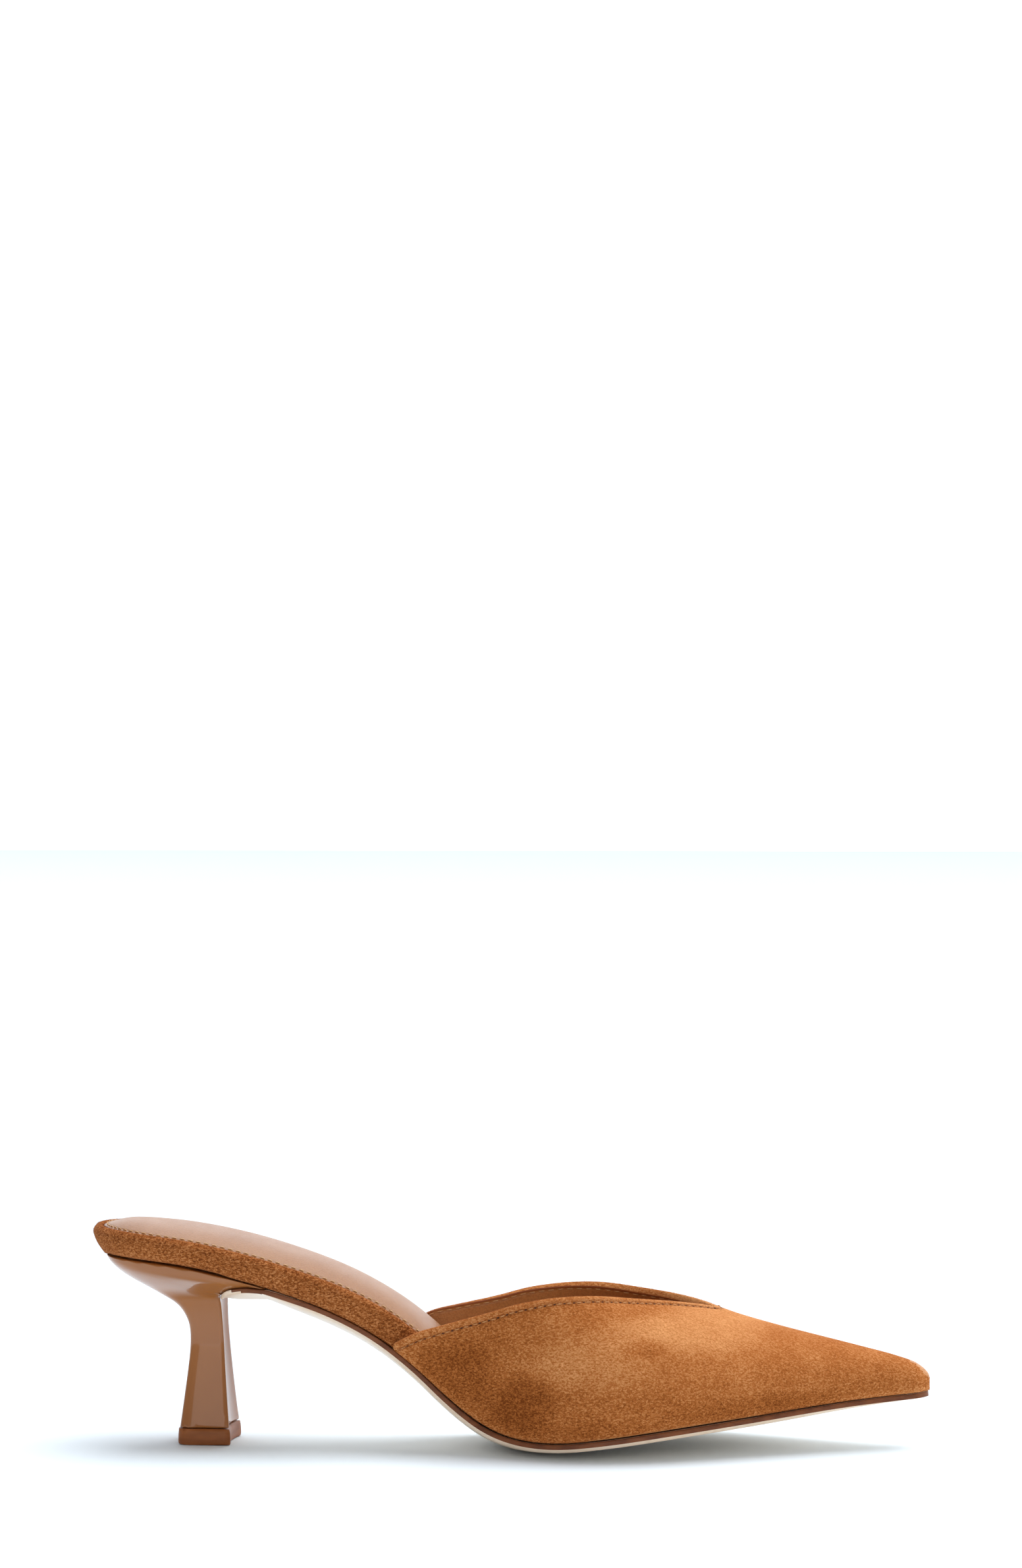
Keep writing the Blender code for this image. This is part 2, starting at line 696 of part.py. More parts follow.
def build_top_piece():
    """Rubber top piece under the heel, a little wider than the heel and flat on the floor."""
    piece = new_piece("top_piece", TIP_RUBBER)
    front = BREAST_STATION * SHOE_LENGTH + BREAST_RAKE
    profile = [(TIP_STEP, TIP_HEIGHT), (TIP_STEP + 0.3 * MM, TIP_ROUND), (TIP_STEP, 0.25 * TIP_ROUND)]
    profile.append((TIP_STEP - 0.6 * TIP_ROUND, 0.0))
    sections = []
    for out, level in profile:
        sections.append(
            round_section(
                (front + out, level),
                (front - TIP_LENGTH - out, level),
                TIP_WIDTH / 2 + out,
                9.0,
                BREAST_HOLLOW,
                (0, 0),
                BREAST_TWIST,
            )
        )
    return fill_mesh(piece, loft(sections, cap_first=True, cap_last=True))


def ridge_above(station):
    """Height of the ridge above the feather line, rolled down over the toe."""
    roll = rounding((1 - station) * SHOE_LENGTH, TOE_ROLL)
    return TOE_FACE + (ridge_height(station) - TOE_FACE) * roll


Girth = namedtuple("Girth", "shift widest tuck toe base middle top")


@lru_cache(maxsize=None)
def girth_at(station):
    """Sizes of the upper's girth at a station."""
    base = float(feather_height(station))
    top = base + float(ridge_above(station))
    edge = float(plan_width(station)) / 2
    tuck = FEATHER_TUCK * edge / (BALL_WIDTH / 2)
    lap = FEATHER_LAP + WING_LAP * (1 - float(smooth(station, WING_STATION, WING_STATION + WING_BLEND)))
    return Girth(
        shift=float(plan_shift(station)),
        widest=edge + tuck + lap,
        tuck=tuck,
        toe=float(rounding((1 - station) * SHOE_LENGTH, TOE_ROUND)),
        base=base,
        middle=base + BELLY_SHARE * (top - base),
        top=top,
    )


def under_share(angle):
    """How far round from the widest place to the feather line an angle is."""
    return max(angle - math.pi / 2, 0.0) / (UNDER_TURN - math.pi / 2)


def upper_point(station, turn):
    """Outer face of the upper at an angle round the girth, from the ridge (0) down either side."""
    side = 1 if turn > 0 else -1
    angle = abs(turn)
    girth = girth_at(station)
    if angle <= math.pi / 2:
        out = girth.widest * math.sin(angle)
        height = girth.middle + (girth.top - girth.middle) * math.cos(angle)
    else:
        out = girth.widest - girth.tuck * under_share(angle) ** 2
        height = girth.middle + (girth.base - girth.middle) * math.cos(angle) / math.cos(UNDER_TURN)
    return np.array([station * SHOE_LENGTH, girth.shift + side * out * girth.toe, height])


def face_offset(station, above):
    """How far the upper's outer face stands from the shoe's middle line at a height above the feather."""
    girth = girth_at(float(station))
    fall = 1 - min(above / (girth.middle - girth.base), 1.0)
    angle = math.acos(math.cos(UNDER_TURN) * fall)
    return girth.widest - girth.tuck * under_share(angle) ** 2


def room_inside(station, side, above):
    """How far out from the feather line a piece backing the upper's wall may reach at a height."""
    reach = sole_point(station * SHOE_LENGTH, 0.0, above)
    there = float(reach[0] / SHOE_LENGTH)
    height = reach[2] - feather_height(there)
    step = 0.1 * MM
    face = face_offset(there, height)
    lean = (face_offset(there, height + step) - face) / step
    slant = (half_width(there + 0.002) - half_width(there - 0.002)) / (0.004 * SHOE_LENGTH)
    wall = UPPER_WALL * math.sqrt(1 + lean**2 + slant**2)
    shift = (2 * side - 1) * (plan_shift(there) - plan_shift(station))
    return (face - wall + shift - half_width(station)) / math.hypot(1, slant) - CLEARANCE


def upper_normal(station, turn):
    """Outward normal of the upper's outer face."""
    step = 1e-4
    inside = min(station, 1 - 3 * step)
    along = upper_point(inside + step, turn) - upper_point(inside - step, turn)
    round_it = upper_point(inside, turn + 0.01) - upper_point(inside, turn - 0.01)
    normal = np.cross(along, round_it)
    if station > 1 - step:
        return np.array([1.0, 0.0, 0.0])
    normal = normal / np.linalg.norm(normal)
    centre = np.array([inside * SHOE_LENGTH, plan_shift(inside), feather_height(inside)])
    return normal if normal @ (upper_point(inside, turn) - centre) > 0 else -normal


def topline_share(station, side):
    """How far round the girth the topline lies: 0 ahead of the throat, 1 at the wing's corner."""
    way = (station - WING_STATION) / (THROAT_STATION - WING_STATION)
    curve = topline_inner if side > 0 else topline_outer
    return float(curve(way)) if way < 1 else 0.0


def girth_shares(station, side, count):
    """Rows round the girth: the topline's band, its step, and the rest down to the feather."""
    top = topline_share(station, side)
    room = 1 - top
    girth = (ridge_above(station) + plan_width(station) / 2) * 1.15
    slant = 1.0 + 0.35 * smooth(station, THROAT_STATION - 0.12, THROAT_STATION)
    fade = 1 - smooth(station, THROAT_STATION, THROAT_STATION + 0.024)
    band = min(TOPLINE_BAND * slant / girth, 0.72 * room) * fade + 0.03 * (1 - fade)
    step = min(0.35 * MM / girth, 0.1 * room) * fade + 0.03 * (1 - fade)
    first = [top, top + band * 0.5, top + band, top + band + step]
    rest = np.linspace(first[-1], 1.0, count - len(first) + 1)[1:]
    lifts = [TOPLINE_STEP * fade * rise for rise in (0.5, 1.0, 0.8)] + [0.0] * (count - 3)
    return list(zip([*first, *rest], lifts))


def build_upper():
    """Vamp of one wall, open at the V throat and underneath, with a raised band on its topline."""
    piece = new_piece("upper", SUEDE)
    count = 15
    behind = WING_STATION + (THROAT_STATION - WING_STATION) * np.array(
        [0.012, 0.03, 0.06, 0.10, 0.15, 0.20, 0.26, 0.32, 0.38, 0.44, 0.50, 0.56, 0.62, 0.68, 0.74, 0.80, 0.86, 0.91, 0.96]
    )
    ahead = np.linspace(THROAT_STATION, 1 - TOE_ROUND / SHOE_LENGTH, 10)
    ahead = [*ahead, *(1 - TOE_ROUND / SHOE_LENGTH * np.array([0.80, 0.60, 0.42, 0.27, 0.15, 0.06, 0.0]))]
    rows = [*behind, *ahead]
    faces = []
    for side in (-1, 1):
        outer, inner = [], []
        for station in rows:
            outer_row, inner_row = [], []
            for share, lift in girth_shares(station, side, count):
                turn = side * share * UNDER_TURN
                point = upper_point(station, turn)
                normal = upper_normal(station, turn)
                outer_row.append(point + normal * lift)
                inner_row.append(point - normal * UPPER_WALL)
            outer.append(outer_row)
            inner.append(inner_row)
        faces += patch(outer) + patch(inner)
        feather = [[a[-1], b[-1]] for a, b in zip(outer, inner)]
        topline = [[a[0], b[0]] for a, b in zip(outer, inner)][: len(behind) + 1]
        corner = [[a, b] for a, b in zip(outer[0], inner[0])]
        faces += patch(feather) + patch(topline) + patch(corner)
    return fill_mesh(piece, faces)


def stand_over_origin(pieces):
    """Hangs the pieces from an empty that centres the shoe over the origin, on the floor."""
    corners = np.array([v.co[:] for piece in pieces for v in piece.data.vertices])
    low, high = corners.min(axis=0), corners.max(axis=0)
    shoe = bpy.data.objects.new("mule_pump", None)
    bpy.context.scene.collection.objects.link(shoe)
    shoe.location = (-(low[0] + high[0]) / 2, -(low[1] + high[1]) / 2, 0.0)
    for piece in pieces:
        piece.parent = shoe


def main():
    """Builds the shoe in a cleared scene."""
    for found in list(bpy.data.objects):
        bpy.data.objects.remove(found)
    stand_over_origin(
        [build_upper(), build_platform(), build_sock(), build_outsole(), build_heel(), build_top_piece()]
    )


main()
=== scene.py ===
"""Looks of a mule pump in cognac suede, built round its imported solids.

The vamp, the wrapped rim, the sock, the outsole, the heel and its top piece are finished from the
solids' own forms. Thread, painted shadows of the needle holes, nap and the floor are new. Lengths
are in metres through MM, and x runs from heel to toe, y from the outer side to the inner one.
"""

import json
import logging
import math
from collections.abc import Callable, Iterator, Sequence
from contextlib import contextmanager
from dataclasses import dataclass
from enum import Enum

import bmesh
import bpy
import numpy as np
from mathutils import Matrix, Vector
from mathutils.bvhtree import BVHTree
from mathutils.kdtree import KDTree

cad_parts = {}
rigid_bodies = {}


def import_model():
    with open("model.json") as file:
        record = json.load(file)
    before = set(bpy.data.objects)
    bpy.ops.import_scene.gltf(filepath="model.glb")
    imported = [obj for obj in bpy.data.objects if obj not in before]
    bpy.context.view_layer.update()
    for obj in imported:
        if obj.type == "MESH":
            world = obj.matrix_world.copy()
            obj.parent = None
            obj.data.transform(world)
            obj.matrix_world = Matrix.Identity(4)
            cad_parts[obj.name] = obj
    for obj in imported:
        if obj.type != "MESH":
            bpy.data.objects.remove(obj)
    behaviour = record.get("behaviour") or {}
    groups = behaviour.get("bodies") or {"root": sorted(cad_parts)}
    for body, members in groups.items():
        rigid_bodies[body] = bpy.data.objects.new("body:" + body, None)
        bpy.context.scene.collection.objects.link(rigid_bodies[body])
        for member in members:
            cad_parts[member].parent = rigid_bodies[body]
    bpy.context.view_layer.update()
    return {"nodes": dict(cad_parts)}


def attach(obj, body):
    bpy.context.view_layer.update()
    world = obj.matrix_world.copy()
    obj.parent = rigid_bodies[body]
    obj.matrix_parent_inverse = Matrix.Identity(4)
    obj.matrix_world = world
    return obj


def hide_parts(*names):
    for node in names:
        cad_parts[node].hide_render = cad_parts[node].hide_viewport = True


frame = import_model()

LOG = logging.getLogger("mule_pump")
MM = 0.001
SEED = 11
NAP_STAND = 0.13 * MM
WELD = 1e-6
LINE_STEP = 0.5 * MM
ROW_STEP = 0.4 * MM
ROW_BREAK = 4.0 * MM
NO_EDGE = 20.0

Colour = tuple[float, float, float]


def srgb(red: float, green: float, blue: float) -> Colour:
    """Turns a colour of 0 to 255 as seen on a screen into the linear one that a shader takes."""
    shares = (red / 255.0, green / 255.0, blue / 255.0)
    return tuple(s / 12.92 if s <= 0.04045 else ((s + 0.055) / 1.055) ** 2.4 for s in shares)


# Shader maths


class Signal:
    """The output of a shader node, which adds, scales and compares as a number does."""

    def __init__(self, bench: "Bench", socket: bpy.types.NodeSocket) -> None:
        """Keeps the tree that the socket belongs to."""
        self.bench = bench
        self.socket = socket

    def _math(self, operation: str, *terms: "Signal | float") -> "Signal":
        """Adds a Math node on these terms."""
        return self.bench.node("ShaderNodeMath", {"operation": operation}, dict(enumerate(terms)))

    def __add__(self, other: "Signal | float") -> "Signal":
        """The sum."""
        return self._math("ADD", self, other)

    __radd__ = __add__

    def __sub__(self, other: "Signal | float") -> "Signal":
        """The difference."""
        return self._math("SUBTRACT", self, other)

    def __rsub__(self, other: float) -> "Signal":
        """The difference from a number."""
        return self._math("SUBTRACT", other, self)

    def __mul__(self, other: "Signal | float") -> "Signal":
        """The product."""
        return self._math("MULTIPLY", self, other)

    __rmul__ = __mul__

    def __truediv__(self, other: "Signal | float") -> "Signal":
        """The quotient."""
        return self._math("DIVIDE", self, other)

    def size(self) -> "Signal":
        """The value without its sign."""
        return self._math("ABSOLUTE", self)

    def ease(self, low: float, high: float) -> "Signal":
        """Rises softly from 0 at low to 1 at high, or falls if low is the larger."""
        ends = {"Value": self, "From Min": low, "From Max": high}
        return self.bench.node("ShaderNodeMapRange", {"interpolation_type": "SMOOTHSTEP"}, ends)


class Bench:
    """One material's node tree, and the one place where its nodes are made."""

    def __init__(self, name: str) -> None:
        """Starts a material with an empty tree, a shader and an output.

        Args:
            name: The material's plain name.
        """
        self.material = bpy.data.materials.new(name)
        self.material.use_nodes = True
        self.tree = self.material.node_tree
        self.tree.nodes.clear()
        self.shader = self.tree.nodes.new("ShaderNodeBsdfPrincipled")
        output = self.tree.nodes.new("ShaderNodeOutputMaterial")
        self.tree.links.new(self.shader.outputs["BSDF"], output.inputs["Surface"])

    def feed(self, socket: bpy.types.NodeSocket, value: "Signal | float | Sequence[float]") -> None:
        """Links a signal into a socket, or sets its plain value."""
        if isinstance(value, Signal):
            self.tree.links.new(value.socket, socket)
        elif socket.type == "RGBA" and len(value) == 3:
            socket.default_value = (*value, 1.0)
        else:
            socket.default_value = value

    def node(self, kind: str, settings: dict, inputs: dict, output: int | str = 0) -> Signal:
        """Adds one node.

        Args:
            kind: Blender's name of the node's type.
            settings: Its own settings; "stops" holds a ramp's places and colours.
            inputs: Values or signals by socket name or number.
            output: The output that is wanted.

        Returns:
            The wanted output.
        """
        made = self.tree.nodes.new(kind)
        for key, value in settings.items():
            if key != "stops":
                setattr(made, key, value)
                continue
            ramp = made.color_ramp
            while len(ramp.elements) < len(value):
                ramp.elements.new(1.0)
            for element, (place, colour) in zip(ramp.elements, value):
                element.position = place
                element.color = (*colour, 1.0)
        for key, value in inputs.items():
            self.feed(made.inputs[key], value)
        return Signal(self, made.outputs[output])

    def place(self) -> Signal:
        """Where a point lies on the shoe, in metres."""
        return self.node("ShaderNodeTexCoord", {}, {}, "Object")

    def stretched(self, scale: Sequence[float], turn: Sequence[float] = (0.0, 0.0, 0.0)) -> Signal:
        """The place with its axes stretched and turned, for a grain that runs one way."""
        inputs = {"Vector": self.place(), "Scale": scale, "Rotation": turn}
        return self.node("ShaderNodeMapping", {}, inputs)

    def noise(self, grain: float, detail: float = 2.0, rough: float = 0.5, where: Signal | None = None,
              curl: float = 0.0) -> Signal:
        """Cloudy noise.

        Args:
            grain: The size of one cloud in metres.
            detail: How many finer layers it has.
            rough: How strong those layers are.
            where: The coordinates, which are the place itself if left out.
            curl: How far the clouds are drawn out into short curls.

        Returns:
            The noise, from about 0 to 1.
        """
        inputs = {"Vector": where or self.place(), "Scale": 1.0 / grain,
                  "Detail": detail, "Roughness": rough, "Distortion": curl}
        return self.node("ShaderNodeTexNoise", {}, inputs, 0)

    def cells(self, grain: float) -> Signal:
        """Distance within scattered cells of that size in metres."""
        inputs = {"Vector": self.place(), "Scale": 1.0 / grain}
        return self.node("ShaderNodeTexVoronoi", {"feature": "F1"}, inputs, 0)

    def mark(self, name: str) -> Signal:
        """A number that the piece's mesh carries at each point."""
        return self.node("ShaderNodeAttribute", {"attribute_name": name}, {}, "Fac")

    def mix(self, share: Signal | float, first: "Signal | Colour", second: "Signal | Colour") -> Signal:
        """The first colour where share is 0, the second where it is 1."""
        inputs = {0: share, 6: first, 7: second}
        return self.node("ShaderNodeMix", {"data_type": "RGBA", "clamp_factor": True}, inputs, 2)

    def ramp(self, share: Signal, stops: Sequence[tuple[float, Colour]]) -> Signal:
        """The colour of that share along these stops."""
        return self.node("ShaderNodeValToRGB", {"stops": stops}, {"Fac": share})

    def bump(self, height: Signal, depth: float, strength: float,
             under: Signal | None = None) -> Signal:
        """A normal for that height, where 1 stands depth metres proud."""
        inputs = {"Height": height, "Distance": depth, "Strength": strength}
        if under is not None:
            inputs["Normal"] = under
        return self.node("ShaderNodeBump", {}, inputs)

    def finish(self, **sockets: "Signal | float | Sequence[float]") -> bpy.types.Material:
        """Sets the shader's sockets, whose names are given with _ for a space, and returns the material."""
        for name, value in sockets.items():
            self.feed(self.shader.inputs[name.replace("_", " ")], value)
        return self.material


# Finishes


@dataclass(frozen=True)
class PaintedLightPatch:
    """A place where light or shade is painted into the suede, lighter or darker: its middle, its reach and
    its strength.
    """

    along: float
    up: float
    long: float
    high: float
    strength: float


@dataclass(frozen=True)
class Suede:
    """Brushed suede: painted light and shade in patches and over the toe, short curled flecks and a glow at
    grazing light.
    """

    name: str = "cognac_suede"
    deep: Colour = srgb(112, 56, 18)
    tone: Colour = srgb(172, 100, 48)
    pale: Colour = srgb(226, 162, 106)
    cloud: float = 15.0 * MM
    cloudy: float = 0.36
    fleck: float = 0.46 * MM
    contrast: float = 0.52
    toe_painted_light: float = 0.16
    nap_depth: float = 0.16 * MM
    patches: tuple[PaintedLightPatch, ...] = ()

    def material(self) -> bpy.types.Material:
        """Makes the suede's material, which reads the marks edge and feather of its piece."""
        b = Bench(self.name)
        clouds = b.noise(self.cloud, 3.0, 0.5)
        brushed = b.noise(self.cloud * 0.22, 2.0, 0.5, b.stretched((0.55, 1.0, 1.0), (0.0, 0.5, 0.2)))
        leaning = b.stretched((0.6, 1.0, 1.1), (0.0, 0.45, 0.0))
        flecks = b.noise(self.fleck, 1.0, 0.5, leaning, 0.6).ease(0.25, 0.75)
        fine = b.noise(self.fleck * 0.45, 1.0, 0.5).ease(0.25, 0.75)
        along = b.node("ShaderNodeSeparateXYZ", {}, {"Vector": b.place()}, "X")
        height = b.node("ShaderNodeSeparateXYZ", {}, {"Vector": b.place()}, "Z")
        # Painted light: the suede is lighter over the top toward the toe, where the light falls.
        painted_toe_light_mask = along.ease(-0.030, 0.085) * height.ease(0.008, 0.040)
        shade = (clouds - 0.5) * self.cloudy + (brushed - 0.5) * 0.12 + 0.38 + painted_toe_light_mask * self.toe_painted_light
        # Painted light and shade: each patch lightens or darkens the suede round its given place.
        for patch in self.patches:
            east = (along - patch.along * MM) / (patch.long * MM)
            north = (height - patch.up * MM) / (patch.high * MM)
            shade = shade + (east * east + north * north).ease(1.0, 0.0) * patch.strength
        grain = (flecks - 0.5) * self.contrast + (fine - 0.5) * self.contrast * 0.5
        shade = shade + grain * (1.0 - painted_toe_light_mask * 0.45)
        # Painted highlight: the suede is lighter along its lower edge, where it curves under.
        shade = shade + (1.0 - b.mark("feather").ease(0.6, 2.6)) * 0.09
        shade = shade + (1.0 - b.mark("edge").ease(1.4, 2.1)) * 0.10
        # Painted shade in the seam's groove: the suede is darker along the stitch row.
        seam = 1.0 - (b.mark("edge") - 2.2).size().ease(0.10, 0.55)
        colour = b.ramp(shade, [(0.0, self.deep), (0.42, self.tone), (1.0, self.pale)])
        colour = b.mix(seam * 0.35, colour, self.deep)
        normal = b.bump(flecks * 0.6 + fine * 0.4, self.nap_depth, 0.8)
        normal = b.bump(1.0 - seam, 0.22 * MM, 0.7, normal)
        b.shader.inputs["Sheen Weight"].default_value = 0.10
        b.shader.inputs["Sheen Roughness"].default_value = 0.5
        b.shader.inputs["Sheen Tint"].default_value = (*self.pale, 1.0)
        b.shader.inputs["Specular IOR Level"].default_value = 0.05
        return b.finish(Base_Color=colour, Roughness=0.95, Normal=normal)


@dataclass(frozen=True)
class Leather:
    """Smooth dyed leather with a fine pebble, faint wrinkles and pores."""

    name: str
    tone: Colour
    deep: Colour
    pebble: float = 0.55 * MM
    wrinkle: float = 3.2 * MM
    depth: float = 0.07 * MM
    rough: float = 0.46
    rim: Colour = srgb(120, 66, 32)
    rim_width: float = 0.35

    def material(self) -> bpy.types.Material:
        """Makes the leather's material, which reads the marks edge and row of its piece."""
        b = Bench(self.name)
        pebbles = b.cells(self.pebble)
        fine = b.noise(self.pebble * 0.6, 2.0, 0.6)
        folds = b.noise(self.wrinkle, 3.0, 0.6, b.stretched((1.0, 0.35, 1.0)))
        clouds = b.noise(24.0 * MM, 2.0, 0.5)
        shade = (clouds - 0.5) * 0.5 + (folds - 0.5) * 0.35 + (pebbles - 0.4) * 0.45
        shade = shade + (fine - 0.5) * 0.3 + 0.34
        colour = b.mix(shade.ease(0.0, 1.0), self.tone, self.deep)
        normal = b.bump(pebbles * 0.6 + fine * 0.25 + folds * 0.8, self.depth * 2.0, 0.7)
        strip = 1.0 - b.mark("edge").ease(self.rim_width, self.rim_width + 0.2)
        colour = b.mix(strip, colour, self.rim)
        # Painted shade in the stitch row's groove: the leather is darker along the row.
        groove = 1.0 - b.mark("row").ease(0.15, 0.75)
        colour = b.mix(groove * 0.5, colour, self.deep)
        normal = b.bump(1.0 - groove, 0.2 * MM, 0.8, normal)
        rough = self.rough + (fine - 0.5) * 0.12 + (folds - 0.5) * 0.10
        b.shader.inputs["Specular IOR Level"].default_value = 0.35
        return b.finish(Base_Color=colour, Roughness=rough, Normal=normal)


@dataclass(frozen=True)
class EdgePaint:
    """Dark paint on the outsole's cut edge, satin, a little uneven along its length."""

    name: str = "edge_paint"
    tone: Colour = srgb(122, 68, 34)
    deep: Colour = srgb(96, 50, 24)

    def material(self) -> bpy.types.Material:
        """Makes the paint's material."""
        b = Bench(self.name)
        streaks = b.noise(2.2 * MM, 3.0, 0.6, b.stretched((0.25, 1.0, 1.0)))
        grit = b.noise(0.35 * MM, 2.0, 0.5)
        colour = b.mix(streaks.ease(0.35, 0.7), self.tone, self.deep)
        normal = b.bump(streaks * 0.7 + grit * 0.3, 0.10 * MM, 0.5)
        b.shader.inputs["Specular IOR Level"].default_value = 0.25
        return b.finish(Base_Color=colour, Roughness=0.45 + (grit - 0.5) * 0.2, Normal=normal)


@dataclass(frozen=True)
class SoleLeather:
    """The natural leather underside, satin, with fine fibre lines along the shoe and pores."""

    name: str = "sole_leather"
    tone: Colour = srgb(240, 218, 194)
    deep: Colour = srgb(222, 192, 162)

    def material(self) -> bpy.types.Material:
        """Makes the underside's material."""
        b = Bench(self.name)
        fibre = b.noise(1.1 * MM, 4.0, 0.6, b.stretched((0.22, 1.0, 1.0)))
        clouds = b.noise(18.0 * MM, 2.0, 0.5)
        pores = b.cells(0.5 * MM)
        colour = b.mix((fibre * 0.6 + clouds * 0.6).ease(0.35, 0.95), self.tone, self.deep)
        normal = b.bump(fibre * 0.7 + pores * 0.3, 0.08 * MM, 0.5)
        rough = 0.34 + (clouds - 0.5) * 0.2
        return b.finish(Base_Color=colour, Roughness=rough, Normal=normal)


@dataclass(frozen=True)
class Lacquer:
    """Caramel lacquer on the moulded heel: a deep coat with the least orange peel and hairlines."""

    name: str = "heel_lacquer"
    tone: Colour = srgb(160, 99, 48)
    deep: Colour = srgb(148, 89, 40)

    def material(self) -> bpy.types.Material:
        """Makes the lacquer's material."""
        b = Bench(self.name)
        clouds = b.noise(30.0 * MM, 2.0, 0.5)
        peel = b.noise(1.6 * MM, 2.0, 0.5)
        hairs = b.noise(0.5 * MM, 3.0, 0.6, b.stretched((1.0, 1.0, 0.08)))
        colour = b.mix(clouds.ease(0.3, 0.75), self.tone, self.deep)
        normal = b.bump(peel * 0.8 + hairs * 0.2, 0.012 * MM, 0.5)
        b.shader.inputs["Coat Roughness"].default_value = 0.06
        b.shader.inputs["Coat IOR"].default_value = 1.5
        rough = 0.34 + (hairs - 0.5) * 0.10
        b.shader.inputs["Specular IOR Level"].default_value = 0.2
        return b.finish(Base_Color=colour, Roughness=rough, Normal=normal, Coat_Weight=0.75)


@dataclass(frozen=True)
class Rubber:
    """The dense rubber of the top piece, satin, with fine moulding grain."""

    name: str = "tip_rubber"
    tone: Colour = srgb(152, 88, 44)
    deep: Colour = srgb(132, 74, 34)

    def material(self) -> bpy.types.Material:
        """Makes the rubber's material."""
        b = Bench(self.name)
        grit = b.noise(0.30 * MM, 2.0, 0.6)
        bands = b.noise(3.0 * MM, 2.0, 0.5, b.stretched((0.3, 0.3, 1.0)))
        colour = b.mix(bands.ease(0.35, 0.7), self.tone, self.deep)
        normal = b.bump(grit, 0.03 * MM, 0.6)
        b.shader.inputs["Specular IOR Level"].default_value = 0.25
        return b.finish(Base_Color=colour, Roughness=0.42 + (grit - 0.5) * 0.15, Normal=normal)


@dataclass(frozen=True)
class Thread:
    """Twisted sewing thread, whose finish also darkens the painted shadows of the needle holes."""

    name: str
    tone: Colour
    deep: Colour
    rough: float = 0.7

    def material(self) -> bpy.types.Material:
        """Makes the thread's material."""
        b = Bench(self.name)
        twist = b.noise(0.22 * MM, 2.0, 0.5)
        colour = b.mix(twist.ease(0.3, 0.7), self.tone, self.deep)
        normal = b.bump(twist, 0.05 * MM, 0.6)
        return b.finish(Base_Color=colour, Roughness=self.rough, Normal=normal)


@dataclass(frozen=True)
class Studio:
    """The matt white of the floor and of the lit wall."""

    name: str = "studio_white"
    tone: Colour = (0.83, 0.92, 0.99)
    glow: float = 0.0

    def material(self) -> bpy.types.Material:
        """Makes the sheet's material."""
        b = Bench(self.name)
        haze = b.noise(0.8, 1.0, 0.5)
        colour = b.mix(haze, self.tone, tuple(0.995 * t for t in self.tone))
        b.shader.inputs["Specular IOR Level"].default_value = 0.0
        b.shader.inputs["Emission Color"].default_value = (1.0, 1.0, 1.0, 1.0)
        b.shader.inputs["Emission Strength"].default_value = self.glow
        return b.finish(Base_Color=colour, Roughness=1.0)


# Hand work on a mesh


class Softness(Enum):
    """How far a piece's corners give when its form is smoothed."""

    HARD = 0.98
    FIRM = 0.6
    SOFT = 0.25


def pick(piece: bpy.types.Object) -> None:
    """Selects one object alone and makes it the active one."""
    bpy.ops.object.select_all(action="DESELECT")
    piece.select_set(True)
    bpy.context.view_layer.objects.active = piece


@contextmanager
def editing(piece: bpy.types.Object) -> Iterator[None]:
    """Holds a piece in edit mode with all of it selected."""
    pick(piece)
    bpy.ops.object.mode_set(mode="EDIT")
    bpy.ops.mesh.select_mode(type="EDGE")
    bpy.ops.mesh.select_all(action="SELECT")
    yield
    bpy.ops.object.mode_set(mode="OBJECT")


def places_of(mesh: bpy.types.Mesh) -> np.ndarray:
    """A mesh's points as rows of x, y, z."""
    flat = np.empty(len(mesh.vertices) * 3, np.float32)
    mesh.vertices.foreach_get("co", flat)
    return flat.reshape(-1, 3).astype(float)


def normals_of(mesh: bpy.types.Mesh) -> np.ndarray:
    """A mesh's point normals as rows."""
    flat = np.empty(len(mesh.vertices) * 3, np.float32)
    mesh.vertex_normals.foreach_get("vector", flat)
    return flat.reshape(-1, 3).astype(float)


def write_mark(mesh: bpy.types.Mesh, name: str, values: np.ndarray) -> None:
    """Stores a number at each point for the materials to read."""
    mark = mesh.attributes.get(name) or mesh.attributes.new(name, "FLOAT", "POINT")
    mark.data.foreach_set("value", values.astype(np.float32))


def near_line(points: np.ndarray, line: np.ndarray) -> np.ndarray:
    """Measures how far points lie from a line.

    Args:
        points: The points, as rows.
        line: Close points along the line, as rows.

    Returns:
        Each point's distance in millimetres.
    """
    tree = KDTree(len(line))
    for index, place in enumerate(line):
        tree.insert(place, index)
    tree.balance()
    return np.array([tree.find(p)[2] for p in points]) / MM


def merged_copy(node: str, name: str) -> bpy.types.Object:
    """Copies a solid, joins its loose triangles and pairs them into quads.

    Args:
        node: The solid's name.
        name: The new piece's name.

    Returns:
        The new piece, at the origin.
    """
    piece = bpy.data.objects.new(name, frame["nodes"][node].data.copy())
    piece.data.name = name
    bpy.context.scene.collection.objects.link(piece)
    with editing(piece):
        bpy.ops.mesh.remove_doubles(threshold=WELD)
        bpy.ops.mesh.tris_convert_to_quads(face_threshold=0.7, shape_threshold=1.05)
    piece.data.materials.clear()
    return piece


